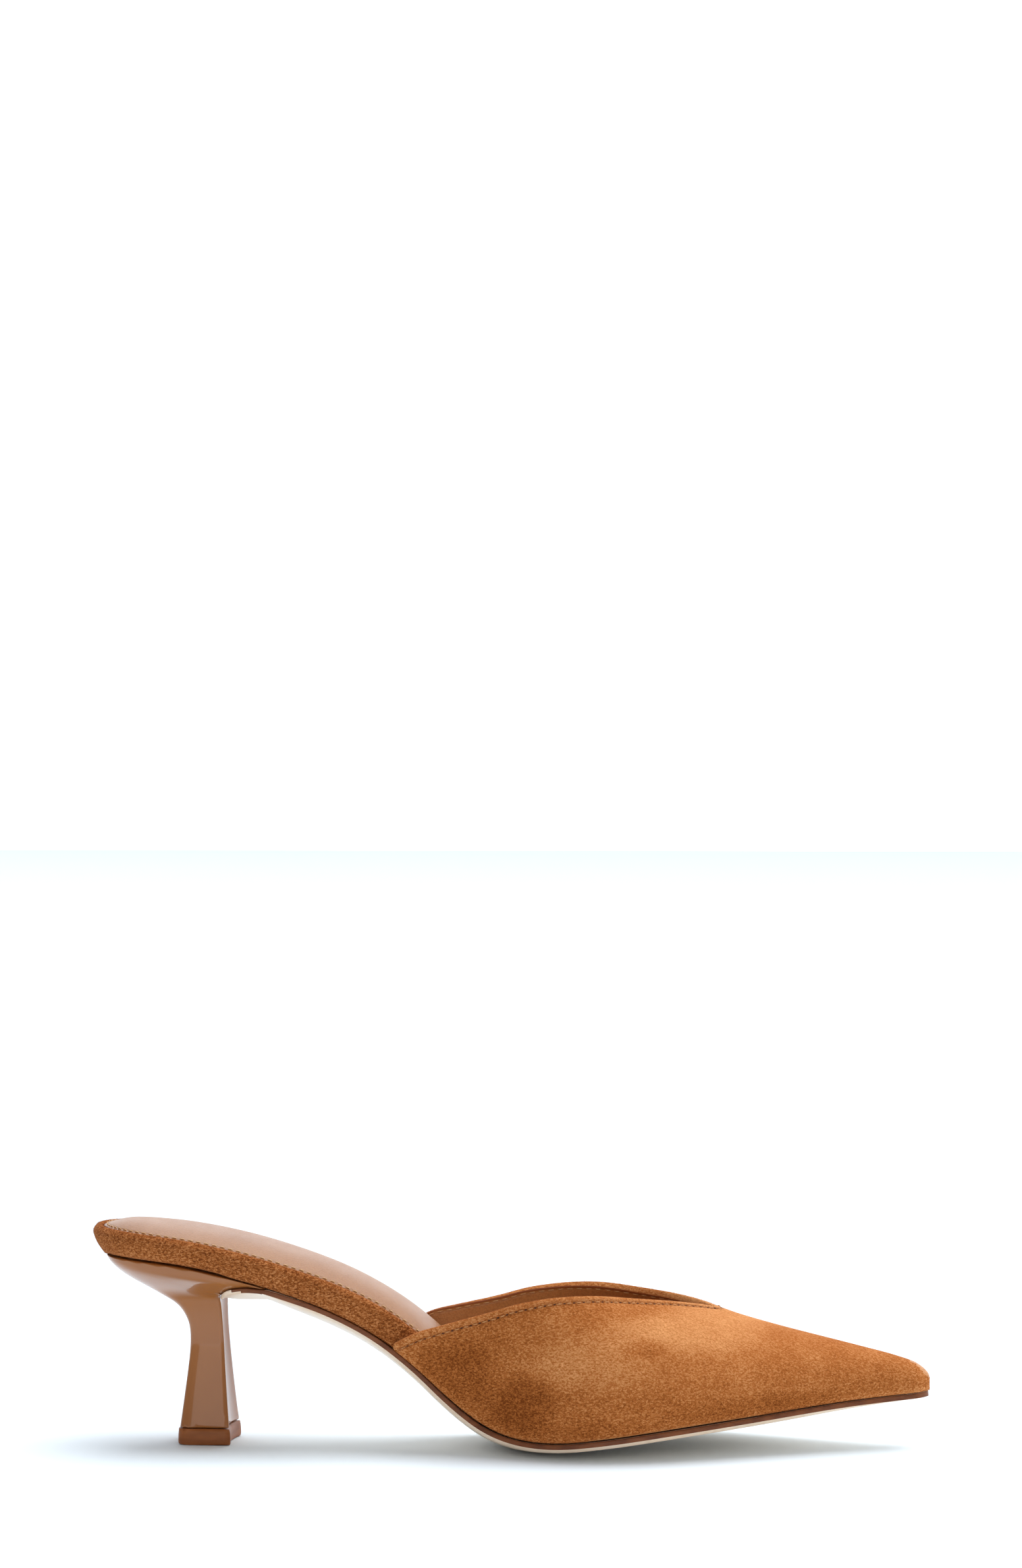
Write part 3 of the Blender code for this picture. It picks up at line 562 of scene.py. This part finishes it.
def soften(piece: bpy.types.Object, softness: Softness, levels: int, sharp: float = 30.0) -> None:
    """Creases a piece's corners and rounds its form.

    Args:
        piece: A merged copy of a solid.
        softness: How far the corners give.
        levels: How often each face is split in four.
        sharp: The least angle of a corner in degrees.
    """
    with editing(piece):
        bpy.ops.mesh.select_all(action="DESELECT")
        bpy.ops.mesh.edges_select_sharp(sharpness=math.radians(sharp))
        bpy.ops.transform.edge_crease(value=softness.value)
    modifier = piece.modifiers.new("rounding", "SUBSURF")
    modifier.levels = levels
    modifier.render_levels = levels
    pick(piece)
    bpy.ops.object.modifier_apply(modifier=modifier.name)
    bpy.ops.object.shade_smooth()


def swell(piece: bpy.types.Object, depth: float) -> None:
    """Stands a piece's whole surface out, as a nap does over its board.

    Args:
        piece: The piece.
        depth: How far it stands out, in metres.
    """
    modifier = piece.modifiers.new("swell", "DISPLACE")
    modifier.strength = depth
    modifier.mid_level = 0.0
    pick(piece)
    bpy.ops.object.modifier_apply(modifier=modifier.name)


def sharp_chains(node: str, angle: float) -> list[np.ndarray]:
    """Follows a solid's sharp edges from corner to corner.

    Args:
        node: The solid's name.
        angle: The least angle between the two faces, in degrees.

    Returns:
        Each chain as ordered points, the longest first.
    """
    mesh = bmesh.new()
    mesh.from_mesh(frame["nodes"][node].data)
    bmesh.ops.remove_doubles(mesh, verts=mesh.verts, dist=WELD)
    least = math.radians(angle)
    sharp = [e for e in mesh.edges if len(e.link_faces) == 2 and e.calc_face_angle(0.0) > least]
    at: dict[bmesh.types.BMVert, list[bmesh.types.BMEdge]] = {}
    for edge in sharp:
        for vert in edge.verts:
            at.setdefault(vert, []).append(edge)
    used: set[bmesh.types.BMEdge] = set()
    chains = []
    ends = sorted((v for v in at if len(at[v]) != 2), key=lambda v: v.index)
    for vert in ends + sorted(at, key=lambda v: v.index):
        for first in at[vert]:
            if first in used:
                continue
            run, here, edge = [vert], vert, first
            while edge is not None and edge not in used:
                used.add(edge)
                here = edge.other_vert(here)
                run.append(here)
                onward = [e for e in at[here] if e not in used] if len(at[here]) == 2 else []
                edge = onward[0] if onward else None
            chains.append(np.array([v.co for v in run], float))
    mesh.free()
    return sorted(chains, key=lambda c: -length_of(c))


def length_of(line: np.ndarray) -> float:
    """A line's length in metres."""
    return float(np.linalg.norm(np.diff(line, axis=0), axis=1).sum())


def spaced(line: np.ndarray, step: float) -> np.ndarray:
    """Sets points along a line at even steps.

    Args:
        line: The line's own points, as rows.
        step: The wanted step in metres.

    Returns:
        The new points, the two ends included.
    """
    run = np.concatenate([[0.0], np.cumsum(np.linalg.norm(np.diff(line, axis=0), axis=1))])
    count = max(2, round(run[-1] / step) + 1)
    where = np.linspace(0.0, run[-1], count)
    return np.column_stack([np.interp(where, run, line[:, axis]) for axis in range(3)])


def surface_of(piece: bpy.types.Object) -> BVHTree:
    """A tree that finds the nearest place on a piece."""
    mesh = piece.data
    return BVHTree.FromPolygons([v.co for v in mesh.vertices], [p.vertices for p in mesh.polygons])


Row = list[tuple[Vector, Vector]]


def parallel_row(edge: np.ndarray, offset: float, surface: BVHTree, inward: Callable[[Vector], Vector],
                 facing: Callable[[Vector, Vector], bool]) -> list[Row]:
    """Lays a row on a surface at an even distance from an edge.

    Args:
        edge: The edge's points.
        offset: The distance from the edge in metres.
        surface: The surface's tree.
        inward: Gives, for a point of the edge, roughly the way that the row lies from it.
        facing: Tells whether a found place and normal are on the wanted side.

    Returns:
        The row's unbroken runs, each as places with the surface's normals.
    """
    fine = spaced(edge, ROW_STEP)
    tree = KDTree(len(fine))
    for index, place in enumerate(fine):
        tree.insert(place, index)
    tree.balance()
    runs: list[Row] = [[]]
    for index, place in enumerate(fine):
        start = Vector(place)
        along = Vector(fine[min(index + 2, len(fine) - 1)] - fine[max(index - 2, 0)]).normalized()
        way = inward(start)
        for _ in range(4):
            way = (way - along * way.dot(along)).normalized()
            spot, normal, _, _ = surface.find_nearest(start + way * offset)
            way = spot - start
            way -= normal * way.dot(normal)
        if not facing(spot, normal) or tree.find(spot)[2] < offset * 0.90:
            continue
        if runs[-1] and (spot - runs[-1][-1][0]).length > ROW_BREAK:
            runs.append([])
        runs[-1].append((spot, normal))
    return [run for run in runs if len(run) > 12]


@dataclass(frozen=True)
class Stitch:
    """One stitch of a row: how long, thick and deep it is, and its distance to the next."""

    pitch: float
    length: float
    thickness: float
    rise: float
    sides: int = 7
    cuts: int = 6

    def model(self) -> tuple[np.ndarray, list[tuple[int, ...]]]:
        """Models one stitch along x: a cylinder cut across, bowed down and drawn in at its ends.

        Returns:
            Its points as rows, and its faces.
        """
        bpy.ops.mesh.primitive_cylinder_add(vertices=self.sides, radius=self.thickness / 2,
                                            depth=self.length, rotation=(0.0, math.pi / 2, 0.0))
        piece = bpy.context.active_object
        bpy.ops.object.transform_apply(location=False, rotation=True, scale=False)
        with editing(piece):
            for cut in range(1, self.cuts):
                spot = (-self.length / 2 + self.length * cut / self.cuts, 0.0, 0.0)
                bpy.ops.mesh.select_all(action="SELECT")
                bpy.ops.mesh.bisect(plane_co=spot, plane_no=(1.0, 0.0, 0.0))
        places = places_of(piece.data)
        share = np.abs(places[:, 0]) * 2 / self.length
        slim = 1.0 - 0.45 * share**3
        places[:, 1] *= slim
        places[:, 2] = places[:, 2] * slim + self.rise - (self.rise + self.thickness * 0.75) * share**2.6
        faces = [tuple(p.vertices) for p in piece.data.polygons]
        bpy.data.objects.remove(piece)
        return places, faces


def along_row(row: Row, pitch: float) -> list[tuple[Vector, Vector, Vector]]:
    """Sets even stations along a row.

    Args:
        row: The row's places and normals.
        pitch: The wanted distance between two stations.

    Returns:
        Each station's place, way along and way out.
    """
    line = np.array([spot for spot, _ in row])
    outs = np.array([normal for _, normal in row])
    run = np.concatenate([[0.0], np.cumsum(np.linalg.norm(np.diff(line, axis=0), axis=1))])
    count = max(1, round(run[-1] / pitch))
    stations = []
    for index in range(count):
        middle = run[-1] * (index + 0.5) / count
        back, ahead = max(middle - pitch * 0.4, 0.0), min(middle + pitch * 0.4, run[-1])
        here, before, after = (Vector([np.interp(t, run, line[:, a]) for a in range(3)])
                               for t in (middle, back, ahead))
        out = Vector([np.interp(middle, run, outs[:, a]) for a in range(3)]).normalized()
        along = (after - before).normalized()
        out = (out - along * out.dot(along)).normalized()
        stations.append((here, along, out))
    return stations


def copies_at(name: str, model: tuple[np.ndarray, list[tuple[int, ...]]],
              stations: list[tuple[Vector, Vector, Vector]]) -> bpy.types.Object:
    """Joins a copy of a small model at each station into one piece.

    Args:
        name: The piece's name.
        model: Points and faces of the model, which runs along x with z outward.
        stations: Place, way along and way out of each copy.

    Returns:
        The joined piece.
    """
    places, faces = model
    points, polygons = [], []
    for spot, along, out in stations:
        across = out.cross(along)
        axes = np.array([along, across, out])
        start = len(points) * len(places)
        points.append(places @ axes + np.array(spot))
        polygons.extend(tuple(start + corner for corner in face) for face in faces)
    mesh = bpy.data.meshes.new(name)
    mesh.from_pydata(np.vstack(points).tolist(), [], polygons)
    piece = bpy.data.objects.new(name, mesh)
    bpy.context.scene.collection.objects.link(piece)
    pick(piece)
    bpy.ops.object.shade_smooth()
    return piece


def settle(piece: bpy.types.Object, stands_for: str | None = None) -> None:
    """Hands a finished piece to the frame.

    Args:
        piece: The piece, in place.
        stands_for: The solid that it shows instead of.
    """
    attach(piece, "root")
    if stands_for is not None:
        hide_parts(stands_for)
    faces = len(piece.data.polygons)
    LOG.info("%s: %d faces%s", piece.name, faces, f", for the solid {stands_for}" if stands_for else "")


# The shoe's pieces


@dataclass
class Crease:
    """A soft trough or ridge in the vamp: where it is, how it lies, and how deep it is."""

    along: float
    up: float
    side: int
    length: float
    width: float
    tilt: float
    depth: float


@dataclass
class Vamp:
    """The suede vamp with its lining, folded topline, seam and thread."""

    name: str = "vamp"
    levels: int = 2
    seam_offset: float = 2.2 * MM
    lining_offset: float = 0.95 * MM
    throat_middle: float = 2.7 * MM
    heart_height: float = 20.0 * MM
    stitch: Stitch = Stitch(pitch=2.9 * MM, length=1.80 * MM, thickness=0.42 * MM, rise=0.10 * MM)
    lining_stitch: Stitch = Stitch(pitch=2.9 * MM, length=2.3 * MM, thickness=0.34 * MM, rise=0.10 * MM)
    # The pit is a dark sliver sunk between the stitches: the painted shadow of a needle hole.
    pit: Stitch = Stitch(pitch=2.9 * MM, length=1.35 * MM, thickness=0.46 * MM, rise=-0.08 * MM, cuts=4)
    creases: tuple[Crease, ...] = (
        Crease(26.0, 33.0, -1, 17.0, 4.0, 35.0, 0.35),
        Crease(38.0, 30.0, -1, 15.0, 4.5, 50.0, -0.35),
        Crease(8.0, 24.0, -1, 16.0, 5.0, 15.0, 0.30),
        Crease(52.0, 26.0, -1, 20.0, 5.0, 12.0, 0.28),
        Crease(30.0, 31.0, 1, 17.0, 4.5, -40.0, 0.32),
        Crease(14.0, 25.0, 1, 15.0, 5.0, -20.0, -0.28),
    )
    # Painted light and shade on the suede: lower and rear parts darker, the top lighter.
    patches: tuple[PaintedLightPatch, ...] = (
        PaintedLightPatch(6.0, 16.0, 13.0, 12.0, -0.26),
        PaintedLightPatch(-14.0, 25.0, 16.0, 13.0, -0.20),
        PaintedLightPatch(26.0, 28.0, 22.0, 10.0, 0.16),
        PaintedLightPatch(38.0, 37.0, 15.0, 6.0, 0.16),
        PaintedLightPatch(42.0, 33.0, 8.0, 3.5, -0.16),
        PaintedLightPatch(60.0, 38.0, 24.0, 9.0, 0.20),
        PaintedLightPatch(28.0, 8.0, 26.0, 6.0, -0.10),
        PaintedLightPatch(80.0, 14.0, 34.0, 6.0, -0.16),
    )

    def build(self) -> None:
        """Makes the vamp and its thread."""
        chains = sharp_chains("upper", 30.0)
        outer_edge, inner_edge = self.topline(chains, True), self.topline(chains, False)
        piece = merged_copy("upper", self.name)
        self.part_lining(piece)
        soften(piece, Softness.SOFT, self.levels, sharp=33.0)
        swell(piece, NAP_STAND)
        self.press_creases(piece)
        mesh = piece.data
        places = places_of(mesh)
        edges = np.vstack([spaced(edge, LINE_STEP) for edge in (outer_edge, inner_edge)])
        write_mark(mesh, "edge", near_line(places, edges))
        feather = max((c for c in chains if c[:, 2].min() < 6.0 * MM), key=length_of)
        write_mark(mesh, "feather", near_line(places, spaced(feather, LINE_STEP)))
        surface = surface_of(piece)
        inner_rows = self.rows(inner_edge, surface, self.lining_offset, False)
        outer_rows = self.rows(outer_edge, surface, self.seam_offset, True)
        line = np.array([spot for run in inner_rows for spot, _ in run])
        write_mark(mesh, "row", near_line(places, line))
        mesh.materials.append(Suede(patches=self.patches).material())
        lining = Leather("lining_leather", srgb(204, 142, 86), srgb(160, 102, 52),
                         wrinkle=2.6 * MM, rim=srgb(150, 82, 38), rim_width=0.45)
        mesh.materials.append(lining.material())
        settle(piece, "upper")
        tan = Thread("tan_thread", srgb(204, 144, 88), srgb(170, 110, 60))
        self.sew("vamp_thread", self.stitch, outer_rows, tan)
        pale = Thread("pale_thread", srgb(214, 168, 116), srgb(178, 126, 78))
        self.sew("lining_thread", self.lining_stitch, inner_rows, pale)
        self.lay_pit_shadows("vamp_pit_shadows", outer_rows)

    def part_lining(self, piece: bpy.types.Object) -> None:
        """Gives the faces that look into the shoe the lining's slot.

        Args:
            piece: The vamp.
        """
        mesh = piece.data
        places = places_of(mesh)
        for face in mesh.polygons:
            middle = face.center
            ring = places[np.abs(places[:, 0] - middle.x) < 4.0 * MM]
            heart = Vector((0.0, (ring[:, 1].min() + ring[:, 1].max()) / 2, ring[:, 2].min() + 9.0 * MM))
            away = Vector((0.0, middle.y - heart.y, middle.z - heart.z))
            face.material_index = 1 if face.normal.dot(away.normalized()) < -0.12 else 0

    def topline(self, chains: list[np.ndarray], outer: bool) -> np.ndarray:
        """The vamp's top edge, from the outer wing over the throat to the inner wing.

        Args:
            chains: The solid's sharp edges.
            outer: Whether the suede's edge or the lining's is wanted.

        Returns:
            The edge's points.
        """
        tops = [c for c in chains if c[:, 2].min() > 32.0 * MM and 95 * MM < length_of(c) < 112 * MM]
        tops = [c if c[0, 0] < c[-1, 0] else c[::-1] for c in tops]
        halves = []
        for side in (-1.0, 1.0):
            pair = sorted((c for c in tops if c[0, 1] * side > 0), key=lambda c: np.abs(c[:, 1]).max())
            halves.append(pair[-1] if outer else pair[0])
        return np.vstack([halves[0], halves[1][::-1][1:]])

    def rows(self, edge: np.ndarray, surface: BVHTree, offset: float, outward: bool) -> list[Row]:
        """Lays the seam on the suede, or on the lining.

        Args:
            edge: The topline's points.
            surface: The vamp's surface.
            offset: The seam's distance from the topline.
            outward: Whether the seam is on the suede.

        Returns:
            The seam's unbroken runs.
        """

        def inward(spot: Vector) -> Vector:
            """The way down from the topline on that side of the throat."""
            side = -1.0 if spot.y < self.throat_middle else 1.0
            return Vector((0.35, side * (0.4 if outward else 0.5), -0.8))

        def facing(spot: Vector, normal: Vector) -> bool:
            """Whether a face looks away from the foot, or toward it for the lining."""
            away = Vector((0.0, spot.y, spot.z - self.heart_height))
            return (normal.dot(away) > 0) == outward

        return parallel_row(edge, offset, surface, inward, facing)

    def press_creases(self, piece: bpy.types.Object) -> None:
        """Presses the soft troughs and ridges into the suede.

        Args:
            piece: The vamp.
        """
        mesh = piece.data
        places, outs = places_of(mesh), normals_of(mesh)
        for crease in self.creases:
            turn = math.radians(crease.tilt)
            run = (places[:, 0] / MM - crease.along, places[:, 2] / MM - crease.up)
            long = (run[0] * math.cos(turn) + run[1] * math.sin(turn)) / crease.length
            wide = (run[1] * math.cos(turn) - run[0] * math.sin(turn)) / crease.width
            here = (np.sign(places[:, 1] - 1.0 * MM) == crease.side)
            push = crease.depth * MM * np.exp(-(long**2) * 2 - wide**2 * 1.5) * here
            places -= outs * push[:, None]
        mesh.vertices.foreach_set("co", places.astype(np.float32).ravel())
        mesh.update()

    def sew(self, name: str, stitch: Stitch, rows: list[Row], thread: Thread) -> None:
        """Lays one row of stitches.

        Args:
            name: The new piece's name.
            stitch: The stitch that is copied.
            rows: The row's runs.
            thread: The stitches' finish.
        """
        stations = [station for run in rows for station in along_row(run, stitch.pitch)]
        piece = copies_at(name, stitch.model(), stations)
        piece.data.materials.append(thread.material())
        settle(piece)

    def lay_pit_shadows(self, name: str, rows: list[Row]) -> None:
        """Sets dark slivers between the stitches, the painted shadows of the needle holes.

        Args:
            name: The new piece's name.
            rows: The row's runs.
        """
        between = []
        for run in rows:
            stations = along_row(run, self.pit.pitch)
            between += [((a[0] + b[0]) / 2, (a[1] + b[1]).normalized(), (a[2] + b[2]).normalized())
                        for a, b in zip(stations, stations[1:])]
        piece = copies_at(name, self.pit.model(), between)
        shadow = Thread("needle_shadow", srgb(74, 36, 16), srgb(52, 24, 10), 0.95)
        piece.data.materials.append(shadow.material())
        settle(piece)


@dataclass
class Rim:
    """The insole board's edge, wrapped in the darker suede."""

    name: str = "rim"
    levels: int = 2

    def build(self) -> None:
        """Makes the wrapped rim."""
        piece = merged_copy("platform", self.name)
        soften(piece, Softness.SOFT, self.levels)
        swell(piece, NAP_STAND)
        places = places_of(piece.data)
        write_mark(piece.data, "edge", np.full(len(places), NO_EDGE))
        write_mark(piece.data, "feather", np.full(len(places), NO_EDGE))
        finish = Suede("rim_suede", deep=srgb(96, 46, 16), tone=srgb(154, 88, 42), pale=srgb(214, 148, 96),
                       cloud=9.0 * MM, cloudy=0.30, fleck=0.48 * MM, contrast=0.62, toe_painted_light=0.0,
                       nap_depth=0.20 * MM)
        piece.data.materials.append(finish.material())
        settle(piece, "platform")


@dataclass
class Sock:
    """The padded leather sock with the row of stitches that holds its edge."""

    name: str = "sock_pad"
    levels: int = 3
    seam_offset: float = 1.15 * MM
    stitch: Stitch = Stitch(pitch=2.45 * MM, length=2.05 * MM, thickness=0.36 * MM, rise=0.16 * MM)
    spine: tuple[tuple[float, float], ...] = ((-90.0, -1.0), (-20.0, -0.5), (40.0, 2.0), (95.0, 5.0))

    def build(self) -> None:
        """Makes the pad and its thread."""
        rims = [c for c in sharp_chains("sock", 50.0) if length_of(c) > 400 * MM]
        edge = max(rims, key=lambda c: c[:, 2].max())
        piece = merged_copy("sock", self.name)
        soften(piece, Softness.FIRM, self.levels)
        mesh = piece.data
        places = places_of(mesh)
        write_mark(mesh, "edge", near_line(places, spaced(edge, LINE_STEP)))
        rows = parallel_row(edge, self.seam_offset, surface_of(piece), self.to_spine,
                            lambda spot, normal: normal.z > 0.2)
        line = np.array([spot for run in rows for spot, _ in run])
        write_mark(mesh, "row", near_line(places, line))
        mesh.materials.append(Leather("sock_leather", srgb(160, 110, 68), srgb(136, 88, 50),
                                      pebble=0.6 * MM, wrinkle=5.0 * MM, rough=0.38).material())
        settle(piece, "sock")
        stations = [station for run in rows for station in along_row(run, self.stitch.pitch)]
        thread = copies_at("sock_thread", self.stitch.model(), stations)
        cream = Thread("cream_thread", srgb(222, 184, 138), srgb(192, 148, 102))
        thread.data.materials.append(cream.material())
        settle(thread)

    def to_spine(self, spot: Vector) -> Vector:
        """Finds the way from a point of the sock's edge to the sock's middle line.

        Args:
            spot: The point.

        Returns:
            The way, a little upward.
        """
        along, out = zip(*self.spine)
        x = min(max(spot.x / MM, along[0]), along[-1])
        middle = Vector((x, float(np.interp(x, along, out)), 0.0)) * MM
        return Vector((middle.x - spot.x, middle.y - spot.y, 0.0)).normalized() + Vector((0.0, 0.0, 0.15))


@dataclass
class Outsole:
    """The leather outsole with its painted edge."""

    name: str = "sole"
    levels: int = 2
    square: float = 0.40
    reach: float = 3.0 * MM
    tail_start: float = -71.0 * MM
    tail_square: float = 0.72

    def build(self) -> None:
        """Makes the outsole; its upright edge takes the paint."""
        piece = merged_copy("outsole", self.name)
        mesh = piece.data
        edge = max(sharp_chains("outsole", 30.0), key=length_of)
        order = np.argsort(edge[:, 0])
        along, up = edge[order, 0], edge[order, 2]
        for face in mesh.polygons:
            x = face.center.x
            rise = np.interp(x + self.reach, along, up) - np.interp(x - self.reach, along, up)
            over = Vector((-rise, 0.0, 2 * self.reach)).normalized()
            if x < self.tail_start:
                upright = abs(face.normal.y) > self.tail_square
            else:
                upright = abs(face.normal.dot(over)) < self.square
            face.material_index = 1 if upright else 0
        soften(piece, Softness.HARD, self.levels)
        mesh.materials.append(SoleLeather().material())
        mesh.materials.append(EdgePaint().material())
        settle(piece, "outsole")


@dataclass
class Heel:
    """The moulded heel and its top piece."""

    levels: int = 2

    def build(self) -> None:
        """Makes the lacquered heel and the rubber tip under it."""
        column = merged_copy("heel", "heel_column")
        soften(column, Softness.HARD, self.levels, sharp=40.0)
        column.data.materials.append(Lacquer().material())
        settle(column, "heel")
        tip = merged_copy("top_piece", "heel_tip")
        soften(tip, Softness.HARD, self.levels, sharp=40.0)
        tip.data.materials.append(Rubber().material())
        settle(tip, "top_piece")


@dataclass(frozen=True)
class Fringe:
    """Where loose nap stands along an edge: on which solid, how dense, how wide and how long."""

    node: str
    angle: float
    shortest: float
    per_mm: float
    band: float
    length: float


@dataclass
class Nap:
    """The short fibres that blur the suede's edges."""

    width: float = 0.07 * MM
    fringes: tuple[Fringe, ...] = (
        Fringe("upper", 30.0, 90.0 * MM, 9.0, 0.9 * MM, 0.55 * MM),
        Fringe("platform", 30.0, 150.0 * MM, 7.0, 1.3 * MM, 0.60 * MM),
    )

    def build(self) -> None:
        """Plants the fibres on the vamp and on the rim."""
        vamp = Thread("vamp_fibre", srgb(190, 124, 76), srgb(142, 82, 42), 1.0)
        rim = Thread("rim_fibre", srgb(172, 108, 64), srgb(120, 68, 34), 1.0)
        self.plant("vamp_nap", self.fringes[0], vamp)
        self.plant("rim_nap", self.fringes[1], rim)

    def plant(self, name: str, fringe: Fringe, fibre: Thread) -> None:
        """Plants fibres along one solid's long edges.

        Args:
            name: The new piece's name, which starts with the suede piece's.
            fringe: Where they stand.
            fibre: Their finish.
        """
        draw = np.random.default_rng(SEED)
        suede = bpy.data.objects[name.split("_")[0]]
        surface = surface_of(suede)
        points, faces = [], []
        for chain in sharp_chains(fringe.node, fringe.angle):
            if length_of(chain) < fringe.shortest:
                continue
            line = spaced(chain, MM / fringe.per_mm)
            for place in line:
                jitter = draw.normal(0.0, fringe.band * 0.5, 3)
                spot, normal, face, _ = surface.find_nearest(Vector(place + jitter))
                if suede.data.polygons[face].material_index == 1:
                    continue
                lean = Vector(draw.normal(0.0, 0.55, 3))
                way = (normal + lean).normalized()
                if way.dot(normal) < 0.25:
                    continue
                long = fringe.length * float(draw.uniform(0.45, 1.0))
                side = way.orthogonal().normalized()
                across = way.cross(side)
                start = len(points)
                root = spot - normal * 0.05 * MM
                for turn in range(3):
                    angle = turn * 2 * math.pi / 3
                    way_out = side * math.cos(angle) + across * math.sin(angle)
                    points.append(root + way_out * self.width / 2)
                points.append(root + way * long)
                faces += [(start, start + 1, start + 3), (start + 1, start + 2, start + 3),
                          (start + 2, start, start + 3), (start + 2, start + 1, start)]
        mesh = bpy.data.meshes.new(name)
        mesh.from_pydata([tuple(p) for p in points], [], faces)
        piece = bpy.data.objects.new(name, mesh)
        bpy.context.scene.collection.objects.link(piece)
        mesh.materials.append(fibre.material())
        settle(piece)


# The room


@dataclass
class Room:
    """The white floor and wall, the lights and the camera."""

    floor_size: float = 24.0
    wall_distance: float = 9.0
    camera_place: tuple[float, float, float] = (0.100395, -1.281290, 0.203365)
    camera_turn: tuple[float, float, float] = (1.5666514635, 0.0, 0.0777546912)
    lens: float = 98.319
    sky: float = 0.34
    overhead: float = 2.90
    overhead_spread: float = 52.0

    def build(self) -> None:
        """Sets up the room."""
        self.sheet("floor", (0.0, 0.0, 0.0), (0.0, 0.0, 0.0), Studio())
        self.sheet("wall", (0.0, self.wall_distance, 0.0), (math.pi / 2, 0.0, 0.0),
                   Studio("wall_white", glow=1.0))
        world = bpy.data.worlds.new("studio")
        world.use_nodes = True
        world.node_tree.nodes["Background"].inputs["Color"].default_value = (1.0, 1.0, 1.0, 1.0)
        world.node_tree.nodes["Background"].inputs["Strength"].default_value = self.sky
        bpy.context.scene.world = world
        roof = bpy.data.lights.new("overhead", "SUN")
        roof.energy = self.overhead
        roof.angle = math.radians(self.overhead_spread)
        lamp = bpy.data.objects.new("overhead", roof)
        lamp.rotation_euler = (math.radians(-14.0), math.radians(12.0), 0.0)
        bpy.context.scene.collection.objects.link(lamp)
        self.softbox("side", (1.20, 0.10, 0.45), (0.0, 0.0, 0.03), (0.9, 0.9), 4.0)
        self.softbox("front", (0.25, -2.20, 0.55), (0.0, 0.0, 0.03), (2.0, 1.2), 9.0)
        bpy.context.scene.view_settings.view_transform = "Standard"
        camera = bpy.data.objects.new("camera", bpy.data.cameras.new("camera"))
        bpy.context.scene.collection.objects.link(camera)
        camera.location = self.camera_place
        camera.rotation_euler = self.camera_turn
        camera.data.sensor_fit = "VERTICAL"
        camera.data.sensor_height = 36.0
        camera.data.lens = self.lens
        camera.data.clip_start = 0.05
        camera.data.clip_end = 60.0
        bpy.context.scene.camera = camera

    def sheet(self, name: str, spot: Sequence[float], turn: Sequence[float], finish: Studio) -> None:
        """Lays one large plain sheet of the room.

        Args:
            name: The sheet's name.
            spot: Its middle.
            turn: Its turn, in radians.
            finish: Its white.
        """
        bpy.ops.mesh.primitive_plane_add(size=self.floor_size, location=spot, rotation=turn)
        plane = bpy.context.active_object
        plane.name = name
        bpy.ops.object.transform_apply(location=True, rotation=True, scale=False)
        with editing(plane):
            bpy.ops.mesh.subdivide(number_cuts=5)
        plane.data.materials.append(finish.material())

    def softbox(self, name: str, spot: Sequence[float], aim: Sequence[float], size: Sequence[float],
                power: float) -> None:
        """Hangs one rectangular soft light.

        Args:
            name: The light's name.
            spot: Where it hangs.
            aim: The point that it looks at.
            size: Its width and height.
            power: Its power in watts.
        """
        lamp = bpy.data.lights.new(name, "AREA")
        lamp.shape = "RECTANGLE"
        lamp.size, lamp.size_y = size
        lamp.energy = power
        box = bpy.data.objects.new(name, lamp)
        box.location = spot
        box.rotation_euler = (Vector(aim) - Vector(spot)).to_track_quat("-Z", "Y").to_euler()
        bpy.context.scene.collection.objects.link(box)


def main() -> None:
    """Builds every piece, then the room."""
    logging.basicConfig(level=logging.INFO, format="%(name)s %(message)s")
    for part in (Vamp(), Rim(), Sock(), Outsole(), Heel(), Nap(), Room()):
        part.build()
        LOG.info("%s built", type(part).__name__)


if __name__ == "__main__":
    main()
